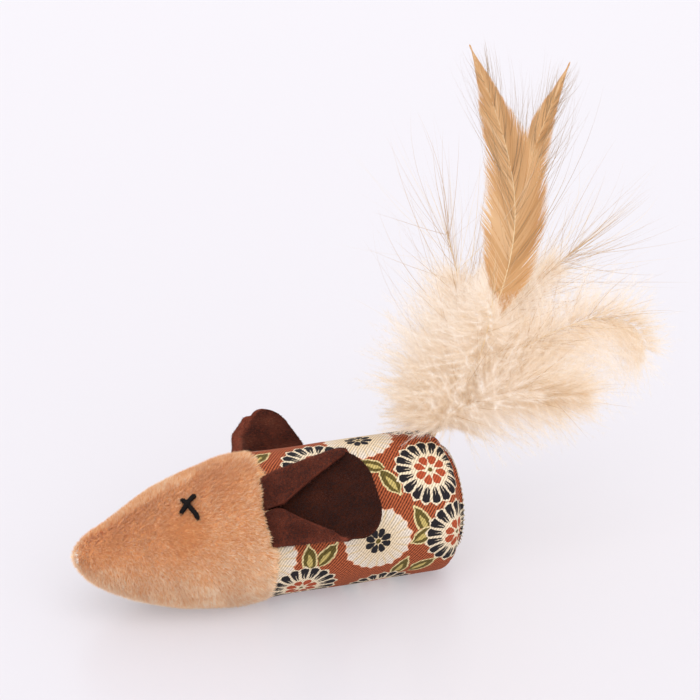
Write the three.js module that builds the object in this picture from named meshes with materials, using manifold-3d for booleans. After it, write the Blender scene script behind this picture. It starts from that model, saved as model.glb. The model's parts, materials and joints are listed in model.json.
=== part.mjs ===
// Catnip mouse: a stuffed cat toy with a plush head, a printed canvas body, two suede ears, stitched eyes
// and a tail of feathers. Millimetres, +Z up. The nose points to -X and the tail to +X, and the mouse's left
// flank faces -Y. The origin is the middle of the flat that the straight part of the belly rests on.

import * as THREE from 'three';
import { mergeVertices } from 'three/addons/utils/BufferGeometryUtils.js';
import Module from 'manifold-3d';

const wasm = await Module();
wasm.setup();

// Body and head, measured outside
const bodyRadius = 19.9;
const bodyLength = 55;
const rumpDepth = 8.3; // of the rounded end
const headLength = 52;
const neckStep = 0.1; // how far the plush stands out past the canvas at the neck
const noseDrop = 4.4; // how far the nose points below the body's axis
const bellyFlat = 0.5; // how deep the belly is pressed flat
const pressedDepth = 2.5; // how far into the cloth and filling the flat reaches
const clearance = 0.3; // between two soft pieces that touch
const crownTurn = 13; // degrees that the mouse has rolled on to its right flank

// Cloth and thread
const canvasWall = 0.8;
const plushWall = 1.3;
const neckAllowance = 3.2; // cloth turned in past the fold
const rumpAllowance = 2;
const neckFoldRadius = 1.2; // of each edge turned in at the neck
const threadRadius = 0.25;
const rumpDiscRadius = 13.6;

// Ears
const earLength = 27.5;
const earWidth = 26.2;
const earRootWidth = 17.7;
const suedeThickness = 1.1;
const earHalfAngle = 65; // degrees from the crown to the middle of a root
const earSetback = 0.9; // from the neck seam to the root
const earWidestShare = 0.72; // of the length, where the ear is widest
const earTipPower = 2.2; // how square the round end is
const flapReachShare = 0.74; // of the length, where the folded sides run out
const flapWidthShare = 0.85; // of the half root, covered by a folded side
const flapRimShare = 0.04; // of the half width, from a folded side's cut edge to the suede beside it
const flapColumnShare = 0.015; // of the half width, kept between the columns of a folded side
const earEaseShare = 0.35; // of the length, where the ear has turned into its sweep
const earEndShare = 0.985; // of the length, where the round end stops
const rootCurlPower = 4; // how soon the ear flattens out from its curved root
// Each ear leans off the flank, rolls about its own length and sweeps in its own plane
const leftEarPose = { leanAngle: 17, rollAngle: 22, sweepAngle: 0 };
const rightEarPose = { leanAngle: 40, rollAngle: -6, sweepAngle: 36 };

// Eyes, each a cross of two stitches
const eyeFromNose = 31;
const eyeHalfAngle = 42; // degrees from the crown
const longStitch = 9.2;
const longStitchTurn = -67; // degrees from the line that runs back from the nose
const shortStitch = 5.8;
const shortStitchTurn = 41;
const eyeThreadRadius = 0.65;

// Filling
const pouchRadius = 8.5;
const pouchLength = 32;
const pouchWall = 0.5;
const pouchNeckRadius = 3;
const pouchNeckLength = 5;
const pouchTieRadius = 0.5;
const pouchEndShare = 0.5; // of its radius, how far the pouch's closed end swells

// Root of the tail
const tailSetIn = 4.2; // from the rump's end to where the quills leave the cloth
const tailLeanAngle = 60; // above the horizontal
const quillDiameter = 0.8;
const quillPitch = 1.15;
const quillDepth = 2; // of the quills below the cloth
const bindingLift = 2.3; // of the binding above the cloth
const bindingLength = 2.4;
const bindingWall = 0.6;
const bindingRoom = 0.6; // between the quills and the thread wound round them
const swingRoom = 1.4; // round the quills where they pass through the cloth
const glueRadius = 1.4;
const glueRoom = 1.6; // round the drop of glue, for its swing
const layerSpreadShare = 0.13; // of the way past the binding, how far neighbouring feathers part
const layerFillShare = 0.8; // of the room between layers that a feather may fill

// Feathers from the nearest layer to the farthest, as shares of the tallest feather's rise. reach and rise
// lead from the root to the tip, tipAngle is the tip's lean above the horizontal, bow is the share of the
// feather's chord along which it keeps the root's direction, up and down are the vane's widths beside its
// shaft, and vane is where it starts
const tallestRise = 111;
const downThickness = 3.1;
const barbThickness = 0.8;
const featherShares = [
  {
    name: 'plume_low', reach: 0.387, rise: 0.117, tipAngle: -8, bow: 0.3,
    up: 0.117, down: 0.135, vane: 0.072,
  },
  {
    name: 'plume_left', reach: 0.09, rise: 0.541, tipAngle: 98, bow: 0.3,
    up: 0.225, down: 0.126, vane: 0.081,
  },
  {
    name: 'plume_droop', reach: 0.523, rise: 0.153, tipAngle: -74, bow: 0.3,
    up: 0.045, down: 0.135, vane: 0.126,
  },
  {
    name: 'feather_front', reach: 0.063, rise: 1, tipAngle: 114, bow: 0.48,
    up: 0.072, down: 0.068, vane: 0.306,
  },
  {
    name: 'plume_up_left', reach: 0, rise: 0.64, tipAngle: 114, bow: 0.3,
    up: 0.153, down: 0.135, vane: 0.108,
  },
  {
    name: 'feather_back', reach: 0.423, rise: 0.847, tipAngle: 60, bow: 0.48,
    up: 0.054, down: 0.045, vane: 0.414,
  },
  {
    name: 'plume_up_right', reach: 0.622, rise: 0.423, tipAngle: 26, bow: 0.3,
    up: 0.162, down: 0.135, vane: 0.126,
  },
  {
    name: 'plume_back', reach: 0.45, rise: 0.09, tipAngle: -18, bow: 0.3,
    up: 0.135, down: 0.126, vane: 0.108,
  },
];
const tipHandleShare = 0.42; // of a feather's chord, how long it keeps the tip's direction
const tipWidthShare = 0.12; // of the vane's width, left at the tip
const tipwardPower = 0.75; // how near the root the vane is widest
const fullnessPower = 0.7; // how full the vane is towards both ends
const edgeThinShare = 0.8; // how far the vane thins towards its edges

// Facets
const aroundCount = 36;
const pouchAroundCount = 20;
const threadAroundCount = 40;
const threadSides = 5;
const profileSteps = 11;
const profileHalvings = 20; // of the search for a place on the profile
const shoulderSteps = 6;
const discRings = 4;
const foldSteps = 3;
const earSteps = 14;
const vaneSteps = 13;
const vaneAcross = 6;
const stitchSteps = 6;
const stitchSides = 6;
const glueSteps = 6;
const ovalSteps = 8;

const finishes = {
  plush: { color: 0xdca06c, roughness: 0.95, metalness: 0 },
  canvas: { color: 0xa9502f, roughness: 0.9, metalness: 0 },
  suede: { color: 0x4a211a, roughness: 0.92, metalness: 0 },
  blackThread: { color: 0x17130f, roughness: 0.7, metalness: 0 },
  creamThread: { color: 0xe6d7bd, roughness: 0.7, metalness: 0 },
  filling: { color: 0xf2efe8, roughness: 1, metalness: 0 },
  muslin: { color: 0xd9cdb2, roughness: 0.95, metalness: 0 },
  catnip: { color: 0x6f7a45, roughness: 1, metalness: 0 },
  tanFeather: { color: 0xdcb27c, roughness: 0.6, metalness: 0 },
  creamDown: { color: 0xf0dfc4, roughness: 0.9, metalness: 0 },
  glue: { color: 0xe8e2d0, roughness: 0.35, metalness: 0 },
};

// Profile of the head, as shares of its length from the nose and of its radius
const headProfileShares = [
  [0, 0], [0.012, 0.09], [0.04, 0.16], [0.14, 0.355], [0.32, 0.595],
  [0.52, 0.815], [0.72, 0.94], [0.88, 1], [1, 0.985],
];
const headProfile = new THREE.SplineCurve(headProfileShares.map(([s, r]) => new THREE.Vector2(s, r)));
const rumpPower = 2.9; // how square the rounded rump is
const neckRadius = bodyRadius + neckStep;
const headRadius = neckRadius / headProfileShares.at(-1)[1];

const radians = THREE.MathUtils.degToRad;
const axisHeight = bodyRadius - bellyFlat;
const neckX = -(bodyLength - rumpDepth) / 2;
const shoulderX = neckX + bodyLength - rumpDepth;
const rumpX = neckX + bodyLength;
const noseX = neckX - headLength;
const seamRadius = bodyRadius - neckFoldRadius - neckAllowance; // inner edge of the turned-in cloth
const rumpHoleRadius = rumpDiscRadius + clearance;

// A mesh with shared vertices, no flat triangles and its faces turned outwards
function closed(geometry) {
  geometry.deleteAttribute('normal');
  geometry.deleteAttribute('uv');
  const merged = mergeVertices(geometry);
  const position = merged.getAttribute('position');
  const index = merged.getIndex();
  const corner = [new THREE.Vector3(), new THREE.Vector3(), new THREE.Vector3()];
  const faces = [];
  let volume = 0;
  for (let start = 0; start < index.count; start += 3) {
    const ids = [0, 1, 2].map((side) => index.getX(start + side));
    if (new Set(ids).size < 3) continue;
    ids.forEach((id, side) => corner[side].fromBufferAttribute(position, id));
    volume += corner[0].dot(corner[1].clone().cross(corner[2]));
    faces.push(ids);
  }
  merged.setIndex(faces.flatMap(([a, b, c]) => (volume < 0 ? [a, c, b] : [a, b, c])));
  return merged;
}

function toManifold(geometry) {
  const vertProperties = Float32Array.from(geometry.getAttribute('position').array);
  const triVerts = Uint32Array.from(geometry.getIndex().array);
  return new wasm.Manifold(new wasm.Mesh({ numProp: 3, vertProperties, triVerts }));
}

function fromManifold(solid) {
  const mesh = solid.getMesh();
  const geometry = new THREE.BufferGeometry();
  geometry.setAttribute('position', new THREE.BufferAttribute(mesh.vertProperties, mesh.numProp));
  geometry.setIndex(new THREE.BufferAttribute(mesh.triVerts, 1));
  return geometry;
}

function cutFrom(geometry, tool) {
  return fromManifold(toManifold(geometry).subtract(toManifold(tool)));
}

function joined(first, second) {
  return fromManifold(toManifold(first).add(toManifold(second)));
}

// Turns an outline of [x, radius] points about the X axis
function turned(outline, count = aroundCount) {
  const points = outline.map(([x, radius]) => new THREE.Vector2(radius, x));
  const geometry = new THREE.LatheGeometry(points, count);
  geometry.rotateZ(-Math.PI / 2);
  return closed(geometry);
}

function moveEach(geometry, place) {
  const position = geometry.getAttribute('position');
  const point = new THREE.Vector3();
  for (let i = 0; i < position.count; i += 1) {
    place(point.fromBufferAttribute(position, i));
    position.setXYZ(i, point.x, point.y, point.z);
  }
  return geometry;
}

// A box of unit size, cut into steps and laid on a surface: place gets across and along from 0 to 1, and
// side, which is 0 on the inner face and 1 on the outer one
function sheet(acrossSteps, alongSteps, place) {
  const box = new THREE.BoxGeometry(1, 1, 1, acrossSteps, alongSteps, 1);
  box.translate(0.5, 0.5, 0.5);
  return closed(moveEach(box, (point) => point.copy(place(point.x, point.y, point.z))));
}

function tube(points, radius, sides, steps) {
  const section = new THREE.Shape();
  for (let i = 0; i < sides; i += 1) {
    const angle = (i / sides) * Math.PI * 2;
    const spot = [radius * Math.cos(angle), radius * Math.sin(angle)];
    if (i === 0) section.moveTo(...spot);
    else section.lineTo(...spot);
  }
  const extrudePath = new THREE.CatmullRomCurve3(points);
  return closed(new THREE.ExtrudeGeometry(section, { steps, extrudePath, bevelEnabled: false }));
}

function named(name, geometry, finish) {
  const mesh = new THREE.Mesh(geometry, new THREE.MeshStandardMaterial(finishes[finish]));
  mesh.name = name;
  return mesh;
}

// The plush surface from the nose to the neck, drawn in by inset
function headOutline(inset) {
  const points = [[noseX + inset, 0]];
  for (let i = 1; i <= profileSteps; i += 1) {
    const t = i / profileSteps;
    const spot = headProfile.getPoint(t);
    const tangent = headProfile.getTangent(t);
    const along = new THREE.Vector2(tangent.x * headLength, tangent.y * headRadius).normalize();
    const x = noseX + spot.x * headLength + along.y * inset;
    const radius = spot.y * headRadius - along.x * inset;
    if (radius > inset && x > points.at(-1)[0]) points.push([x, radius]);
  }
  return points;
}

// The rounded rump as a radius at x and as x at a radius, drawn in by inset
function rumpRadiusAt(x, inset) {
  const share = Math.min(1, Math.max(0, (x - shoulderX) / (rumpDepth - inset)));
  return (bodyRadius - inset) * (1 - share ** rumpPower) ** (1 / rumpPower);
}

function rumpXAt(radius, inset) {
  const share = radius / (bodyRadius - inset);
  return shoulderX + (rumpDepth - inset) * (1 - share ** rumpPower) ** (1 / rumpPower);
}

// The shoulder of the canvas from its straight part down to toRadius
function shoulderOutline(toRadius, inset) {
  const fullRadius = bodyRadius - inset;
  const points = [[shoulderX, fullRadius]];
  for (let i = 1; i <= shoulderSteps; i += 1) {
    const angle = (i / shoulderSteps) * (Math.PI / 2);
    const radius = toRadius + (fullRadius - toRadius) * Math.cos(angle);
    points.push([rumpXAt(radius, inset), radius]);
  }
  return points;
}

// An edge turned in at the neck: a quarter round from the outer surface down into the seam, on side -1 or 1
function neckFold(side, outerRadius) {
  const points = [];
  for (let i = 0; i <= foldSteps; i += 1) {
    const angle = (i / foldSteps) * (Math.PI / 2);
    const out = neckFoldRadius * (1 - Math.sin(angle)) + clearance / 2;
    points.push([neckX + side * out, outerRadius - neckFoldRadius * (1 - Math.cos(angle))]);
  }
  return points;
}

// The head's axis falls towards the nose, and both soft covers sink flat under their own weight
function axisAt(x) {
  return axisHeight - noseDrop * Math.max(0, (neckX - x) / headLength);
}

function outerRadiusAt(x) {
  if (x >= neckX) return rumpRadiusAt(x, 0);
  const share = Math.max(0, (x - noseX) / headLength);
  let low = 0;
  let high = 1;
  for (let i = 0; i < profileHalvings; i += 1) {
    const middle = (low + high) / 2;
    if (headProfile.getPoint(middle).x < share) low = middle;
    else high = middle;
  }
  return headProfile.getPoint(low).y * headRadius;
}

function settled(geometry) {
  return moveEach(geometry, (point) => {
    const depth = Math.max(0, outerRadiusAt(point.x) - Math.hypot(point.y, point.z));
    point.z = Math.max(point.z + axisAt(point.x), depth < pressedDepth ? depth : 0);
  });
}

// Where the quills leave the cloth, on the crown line of the shoulder, and the way that they point
const exitRadius = rumpRadiusAt(rumpX - tailSetIn, 0);
const exitPoint = new THREE.Vector3(
  rumpX - tailSetIn,
  exitRadius * Math.sin(radians(crownTurn)),
  axisHeight + exitRadius * Math.cos(radians(crownTurn)),
);
const tailWay = new THREE.Vector2(Math.cos(radians(tailLeanAngle)), Math.sin(radians(tailLeanAngle)));
const bundleHalf = ((featherShares.length - 1) * quillPitch + quillDiameter) / 2;
const bindingTop = bindingLift + bindingLength + clearance;

// A box round the quills, from below the cloth to above it
function quillRoom(depth, sideRoom) {
  const width = quillDiameter + 2 * sideRoom;
  const box = new THREE.BoxGeometry(width, 2 * bundleHalf + 2 * sideRoom, depth + bindingLift);
  box.translate(0, 0, (bindingLift - depth) / 2);
  box.rotateY(radians(90 - tailLeanAngle));
  box.translate(exitPoint.x, exitPoint.y, exitPoint.z);
  return closed(box);
}

const slotDepth = quillDepth + swingRoom;
const pocketDepth = quillDepth + clearance + 2 * glueRadius + clearance;

// Plush head: one cone, with its rear edge turned in to the neck seam
function headCover() {
  const flangeX = neckX - clearance / 2;
  const outside = headOutline(0).filter(([x]) => x < flangeX - neckFoldRadius);
  const inside = headOutline(plushWall).filter(([x]) => x < flangeX - neckFoldRadius - plushWall);
  const outline = [
    ...outside,
    ...neckFold(-1, neckRadius),
    [flangeX, seamRadius],
    [flangeX - plushWall, seamRadius],
    [flangeX - plushWall, neckRadius - neckFoldRadius],
    ...inside.reverse(),
  ];
  return settled(turned(outline));
}

// Canvas of the body: a tube turned in at the neck and at the rump, with a slot for the quills
function bodyTube() {
  const flangeX = neckX + clearance / 2;
  const outside = shoulderOutline(rumpHoleRadius, 0);
  const inside = shoulderOutline(rumpHoleRadius + canvasWall, canvasWall);
  const turnedInX = outside.at(-1)[0] - rumpAllowance;
  const outline = [
    [flangeX, seamRadius],
    ...neckFold(1, bodyRadius).reverse(),
    ...outside,
    [turnedInX, rumpHoleRadius],
    [turnedInX, rumpHoleRadius + canvasWall],
    ...inside.reverse(),
    [flangeX + neckFoldRadius, bodyRadius - canvasWall],
    [flangeX + canvasWall, bodyRadius - neckFoldRadius],
    [flangeX + canvasWall, seamRadius],
    [flangeX, seamRadius],
  ];
  return cutFrom(settled(turned(outline)), quillRoom(slotDepth, swingRoom));
}

// Canvas disc that closes the rump, its edge turned in
function rumpDisc() {
  const edgeX = rumpXAt(rumpDiscRadius, 0);
  const outline = [[rumpX, 0]];
  for (let i = 1; i <= discRings; i += 1) {
    const radius = (rumpDiscRadius * i) / discRings;
    outline.push([rumpXAt(radius, 0), radius]);
  }
  outline.push([edgeX - rumpAllowance, rumpDiscRadius]);
  outline.push([edgeX - rumpAllowance, rumpDiscRadius - canvasWall]);
  outline.push([edgeX - canvasWall, rumpDiscRadius - canvasWall]);
  outline.push([rumpX - canvasWall, 0]);
  return moveEach(turned(outline), (point) => point.setZ(point.z + axisHeight));
}

function threadRing(x, ringRadius, radius, count = threadAroundCount) {
  const outline = [];
  for (let i = 0; i <= threadSides; i += 1) {
    const angle = ((i % threadSides) / threadSides) * Math.PI * 2;
    outline.push([x + radius * Math.cos(angle), ringRadius + radius * Math.sin(angle)]);
  }
  return moveEach(turned(outline, count), (point) => point.setZ(point.z + axisHeight));
}

// The thread lies in the groove between the two folds, touching both
function neckThread() {
  const fromFold = neckFoldRadius + threadRadius + clearance;
  const across = neckFoldRadius + clearance / 2;
  const ringRadius = bodyRadius - neckFoldRadius + Math.sqrt(fromFold ** 2 - across ** 2);
  return threadRing(neckX, ringRadius, threadRadius);
}

function rumpThread() {
  const ringRadius = rumpDiscRadius + clearance / 2;
  return threadRing(rumpXAt(rumpDiscRadius, 0) + clearance + threadRadius, ringRadius, threadRadius);
}

// An ear: a round of suede with both sides of its root folded over the outer face. It is drawn about the
// middle of its root, with x along the ear, y round the neck and z out of the body
const rootRadius = bodyRadius + clearance + suedeThickness / 2;
const earColumnShares = [0, 0.12, 0.28, 0.31, 0.42, 0.5, 0.58, 0.69, 0.72, 0.88, 1];
const flapColumns = 2; // columns that lie under each folded side

function earHalfWidth(share) {
  if (share < earWidestShare) {
    const grown = share / earWidestShare;
    return (earRootWidth + (earWidth - earRootWidth) * grown) / 2;
  }
  const past = (share - earWidestShare) / (1 - earWidestShare);
  return (earWidth / 2) * Math.max(0, 1 - past ** earTipPower) ** (1 / earTipPower);
}

function earPoint(across, share, { leanAngle, rollAngle, sweepAngle }) {
  const ease = Math.sin(share * (Math.PI / 2));
  const turn = radians(rollAngle) * ease;
  const side = across * earHalfWidth(share);
  const drop = (Math.sqrt(rootRadius ** 2 - side ** 2) - rootRadius) * (1 - share) ** rootCurlPower;
  const swept = side * Math.sin(radians(sweepAngle)) * Math.min(1, share / earEaseShare);
  return new THREE.Vector3(
    share * earLength * Math.cos(radians(leanAngle)) + swept,
    side * Math.cos(turn),
    share * earLength * Math.sin(radians(leanAngle)) + drop - side * Math.sin(turn),
  );
}

function earSheet(pose) {
  const columns = earColumnShares.length - 1;
  const stepShare = 0.01; // for the surface's slope
  return sheet(columns, earSteps, (acrossStep, alongStep, side) => {
    const column = Math.round(acrossStep * columns);
    const share = alongStep * earEndShare;
    const folded = flapWidthShare * Math.max(0, 1 - share / flapReachShare);
    const straight = earColumnShares[column];
    const fromEdge = Math.min(column, columns - column);
    const sign = column * 2 < columns ? -1 : 1;
    let across = straight * 2 - 1;
    if (fromEdge <= flapColumns + 1 && column * 2 !== columns) {
      const rim = (fromEdge > flapColumns ? flapRimShare : 0) + fromEdge * flapColumnShare;
      across = sign * (1 - folded * Math.min(1, fromEdge / flapColumns) - rim);
    } else if (column * 2 !== columns) {
      across = (straight * 2 - 1) * (1 - folded);
    }
    const spot = earPoint(across, share, pose);
    const before = Math.max(0, share - stepShare);
    const alongWay = earPoint(across, share + stepShare, pose).sub(earPoint(across, before, pose));
    const acrossWay = earPoint(across + stepShare, share, pose);
    const out = alongWay.cross(acrossWay.sub(earPoint(across - stepShare, share, pose))).normalize();
    const plies = fromEdge <= flapColumns && share < flapReachShare ? 2 : 1;
    const height = side === 0 ? -suedeThickness / 2 : suedeThickness * (plies - 0.5);
    return spot.addScaledVector(out, height);
  });
}

function ear(name, angle, pose) {
  const mesh = named(name, earSheet(pose), 'suede');
  const place = new THREE.Group();
  mesh.position.set(neckX + earSetback, 0, rootRadius);
  place.position.z = axisHeight;
  place.rotation.x = radians(angle);
  place.add(mesh);
  return place;
}

// One eye: two stitches that cross on the plush. side is 1 on the left flank and -1 on the right
function eyeStitches(side) {
  const middle = radians(crownTurn) - side * radians(eyeHalfAngle);
  const stitch = (length, turn) => {
    const points = [];
    for (let i = 0; i <= stitchSteps; i += 1) {
      const along = length * (i / stitchSteps - 0.5);
      const x = noseX + eyeFromNose + along * Math.cos(radians(turn));
      const radius = outerRadiusAt(x) + clearance + eyeThreadRadius;
      const angle = middle + (side * along * Math.sin(radians(turn))) / radius;
      points.push(new THREE.Vector3(x, radius * Math.sin(angle), axisAt(x) + radius * Math.cos(angle)));
    }
    return tube(points, eyeThreadRadius, stitchSides, stitchSteps);
  };
  return joined(stitch(longStitch, longStitchTurn), stitch(shortStitch, shortStitchTurn));
}

// Filling of the head, with a plug that passes through the neck
function headStuffing() {
  const inset = plushWall + clearance;
  const backX = neckX - clearance - plushWall - clearance;
  const plugRadius = seamRadius - clearance;
  const outline = [
    ...headOutline(inset).filter(([x]) => x < backX - neckFoldRadius),
    [backX, neckRadius - inset - neckFoldRadius / 2],
    [backX, plugRadius],
    [neckX, plugRadius],
    [neckX, 0],
  ];
  return settled(turned(outline));
}

// Filling of the body, hollow at the front for the pouch and notched at the rump for the glue
function bodyStuffing() {
  const inset = canvasWall + clearance;
  const frontX = neckX + clearance / 2 + canvasWall + clearance;
  const boreRadius = pouchRadius + clearance;
  const backRadius = rumpDiscRadius - canvasWall - clearance;
  const ledgeX = shoulderOutline(rumpHoleRadius, 0).at(-1)[0] - rumpAllowance - clearance;
  const backX = rumpXAt(backRadius, 0) - canvasWall - clearance;
  const outline = [
    [frontX, boreRadius],
    [frontX, bodyRadius - inset - neckFoldRadius],
    [frontX + neckFoldRadius, bodyRadius - inset],
    [shoulderX, bodyRadius - inset],
    [ledgeX, rumpRadiusAt(ledgeX, inset)],
    [ledgeX, backRadius],
    [backX, backRadius],
    [backX, 0],
    [frontX + pouchLength + clearance, 0],
    [frontX + pouchLength + clearance, boreRadius],
    [frontX, boreRadius],
  ];
  const glueSide = glueRadius + glueRoom - quillDiameter / 2;
  return cutFrom(settled(turned(outline)), quillRoom(pocketDepth, glueSide));
}

// Muslin pouch, drawn together at its neck and open there, and the dried catnip in it
function roundedEnd(x, radius) {
  const points = [];
  for (let i = 0; i <= foldSteps; i += 1) {
    const angle = (i / foldSteps) * (Math.PI / 2);
    points.push([x + pouchEndShare * radius * Math.cos(angle), radius * Math.sin(angle)]);
  }
  return points;
}

const pouchFrontX = neckX + clearance;
const pouchNeckX = pouchFrontX + pouchNeckLength;
const pouchBackX = pouchFrontX + pouchLength - pouchEndShare * pouchRadius; // where its closed end starts

function pouch() {
  const inner = pouchRadius - pouchWall;
  const gatherX = pouchNeckX + pouchNeckLength;
  const outline = [
    ...roundedEnd(pouchBackX, pouchRadius),
    [gatherX + pouchNeckLength, pouchRadius],
    [gatherX, (pouchRadius + pouchNeckRadius) / 2],
    [pouchNeckX, pouchNeckRadius],
    [pouchFrontX, pouchNeckRadius + pouchWall],
    [pouchFrontX, pouchNeckRadius],
    [pouchNeckX, pouchNeckRadius - pouchWall],
    [gatherX, (inner + pouchNeckRadius - pouchWall) / 2],
    [gatherX + pouchNeckLength, inner],
    ...roundedEnd(pouchBackX - pouchWall, inner).reverse(),
  ];
  return moveEach(turned(outline, pouchAroundCount), (point) => point.setZ(point.z + axisHeight));
}

function catnip() {
  const inner = pouchRadius - pouchWall - clearance;
  const gatherX = pouchNeckX + pouchNeckLength;
  const outline = [
    [gatherX + clearance, 0],
    [gatherX + clearance, pouchNeckRadius],
    [gatherX + pouchNeckLength, inner - clearance],
    ...roundedEnd(pouchBackX - pouchWall - clearance, inner).reverse(),
  ];
  return moveEach(turned(outline, pouchAroundCount), (point) => point.setZ(point.z + axisHeight));
}

// Thread wound round the quills above the cloth, an oval ring
function quillBinding() {
  const innerHalf = bundleHalf + bindingRoom;
  const innerThick = quillDiameter / 2 + bindingRoom;
  const oval = (half, thick) => {
    const path = new THREE.Shape();
    path.absellipse(0, 0, thick, half, 0, Math.PI * 2);
    return path;
  };
  const ring = oval(innerHalf + bindingWall, innerThick + bindingWall);
  ring.holes.push(oval(innerHalf, innerThick));
  const form = { depth: bindingLength, bevelEnabled: false, curveSegments: ovalSteps };
  const geometry = new THREE.ExtrudeGeometry(ring, form);
  geometry.translate(0, 0, bindingLift);
  geometry.rotateY(radians(90 - tailLeanAngle));
  return closed(geometry);
}

function glueDrop() {
  const drop = new THREE.SphereGeometry(glueRadius, glueSteps * 2, glueSteps);
  const below = quillDepth + clearance + glueRadius;
  drop.translate(-tailWay.x * below, 0, -tailWay.y * below);
  return closed(drop);
}

// A feather lies on its own cone about the root, so that neighbouring layers part as they leave the binding
function feather(shares, thickness, layer) {
  const fromMiddle = layer - (featherShares.length - 1) / 2;
  const tip = new THREE.Vector2(shares.reach, shares.rise).multiplyScalar(tallestRise);
  const tipWay = new THREE.Vector2(Math.cos(radians(shares.tipAngle)), Math.sin(radians(shares.tipAngle)));
  const start = tailWay.clone().multiplyScalar(-quillDepth);
  const leave = tailWay.clone().multiplyScalar(bindingTop);
  const path = new THREE.CurvePath();
  path.add(new THREE.LineCurve(start, leave));
  path.add(new THREE.CubicBezierCurve(
    leave,
    leave.clone().addScaledVector(tailWay, tip.length() * shares.bow),
    tip.clone().addScaledVector(tipWay, -tip.length() * tipHandleShare),
    tip,
  ));
  const length = path.getLength();
  const vaneStart = shares.vane * tallestRise;
  const bareShares = [0, (bindingTop + quillDepth) / length, (vaneStart + quillDepth) / length];
  const bare = bareShares.length - 1; // steps of bare quill below the vane
  return sheet(vaneAcross, vaneSteps, (across, along, side) => {
    const step = Math.round(along * vaneSteps);
    const grown = Math.max(0, (step - bare) / (vaneSteps - bare));
    const share = step < bare ? bareShares[step] : bareShares[bare] + (1 - bareShares[bare]) * grown;
    const spot = path.getPointAt(Math.min(1, share));
    const way = path.getTangentAt(Math.min(1, share));
    const leastShare = grown > 0.5 ? tipWidthShare : 0;
    const swell = Math.max(Math.sin(Math.PI * grown ** tipwardPower) ** fullnessPower, leastShare);
    const width = (across > 0.5 ? shares.up : shares.down) * tallestRise;
    const edge = across * 2 - 1;
    const out = edge * Math.max(quillDiameter / 2, width * swell);
    const x = spot.x - way.y * out;
    const z = spot.y + way.x * out;
    const past = Math.max(0, Math.hypot(x, z) - bindingTop);
    const room = (quillDiameter + layerSpreadShare * past) * layerFillShare;
    const lens = grown > 0 ? Math.sqrt(1 - edgeThinShare * edge ** 2) : 1;
    const depth = past === 0 ? quillDiameter : Math.min(thickness, room) * lens;
    const y = fromMiddle * (quillPitch + layerSpreadShare * past) + (side - 0.5) * depth;
    return new THREE.Vector3(x, y, z);
  });
}

const mouse = new THREE.Group();
mouse.add(named('head_cover', headCover(), 'plush'));
mouse.add(named('body_tube', bodyTube(), 'canvas'));
mouse.add(named('rump_disc', rumpDisc(), 'canvas'));
mouse.add(named('neck_thread', neckThread(), 'creamThread'));
mouse.add(named('rump_thread', rumpThread(), 'creamThread'));
mouse.add(named('head_stuffing', headStuffing(), 'filling'));
mouse.add(named('body_stuffing', bodyStuffing(), 'filling'));
mouse.add(named('catnip_pouch', pouch(), 'muslin'));
const tieRadius = pouchNeckRadius + pouchTieRadius + clearance;
const pouchTie = threadRing(pouchNeckX, tieRadius, pouchTieRadius, pouchAroundCount);
mouse.add(named('pouch_tie', pouchTie, 'creamThread'));
mouse.add(named('dried_catnip', catnip(), 'catnip'));
mouse.add(named('eye_left', eyeStitches(1), 'blackThread'));
mouse.add(named('eye_right', eyeStitches(-1), 'blackThread'));
mouse.add(ear('ear_left', earHalfAngle - crownTurn, leftEarPose));
mouse.add(ear('ear_right', -earHalfAngle - crownTurn, rightEarPose));

const tail = new THREE.Group();
tail.position.copy(exitPoint);
tail.add(named('quill_glue', glueDrop(), 'glue'));
tail.add(named('quill_binding', quillBinding(), 'creamThread'));
featherShares.forEach((shares, layer) => {
  const isPlume = shares.name.startsWith('plume');
  const geometry = feather(shares, isPlume ? downThickness : barbThickness, layer);
  tail.add(named(shares.name, geometry, isPlume ? 'creamDown' : 'tanFeather'));
});
mouse.add(tail);

export default mouse;
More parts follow.
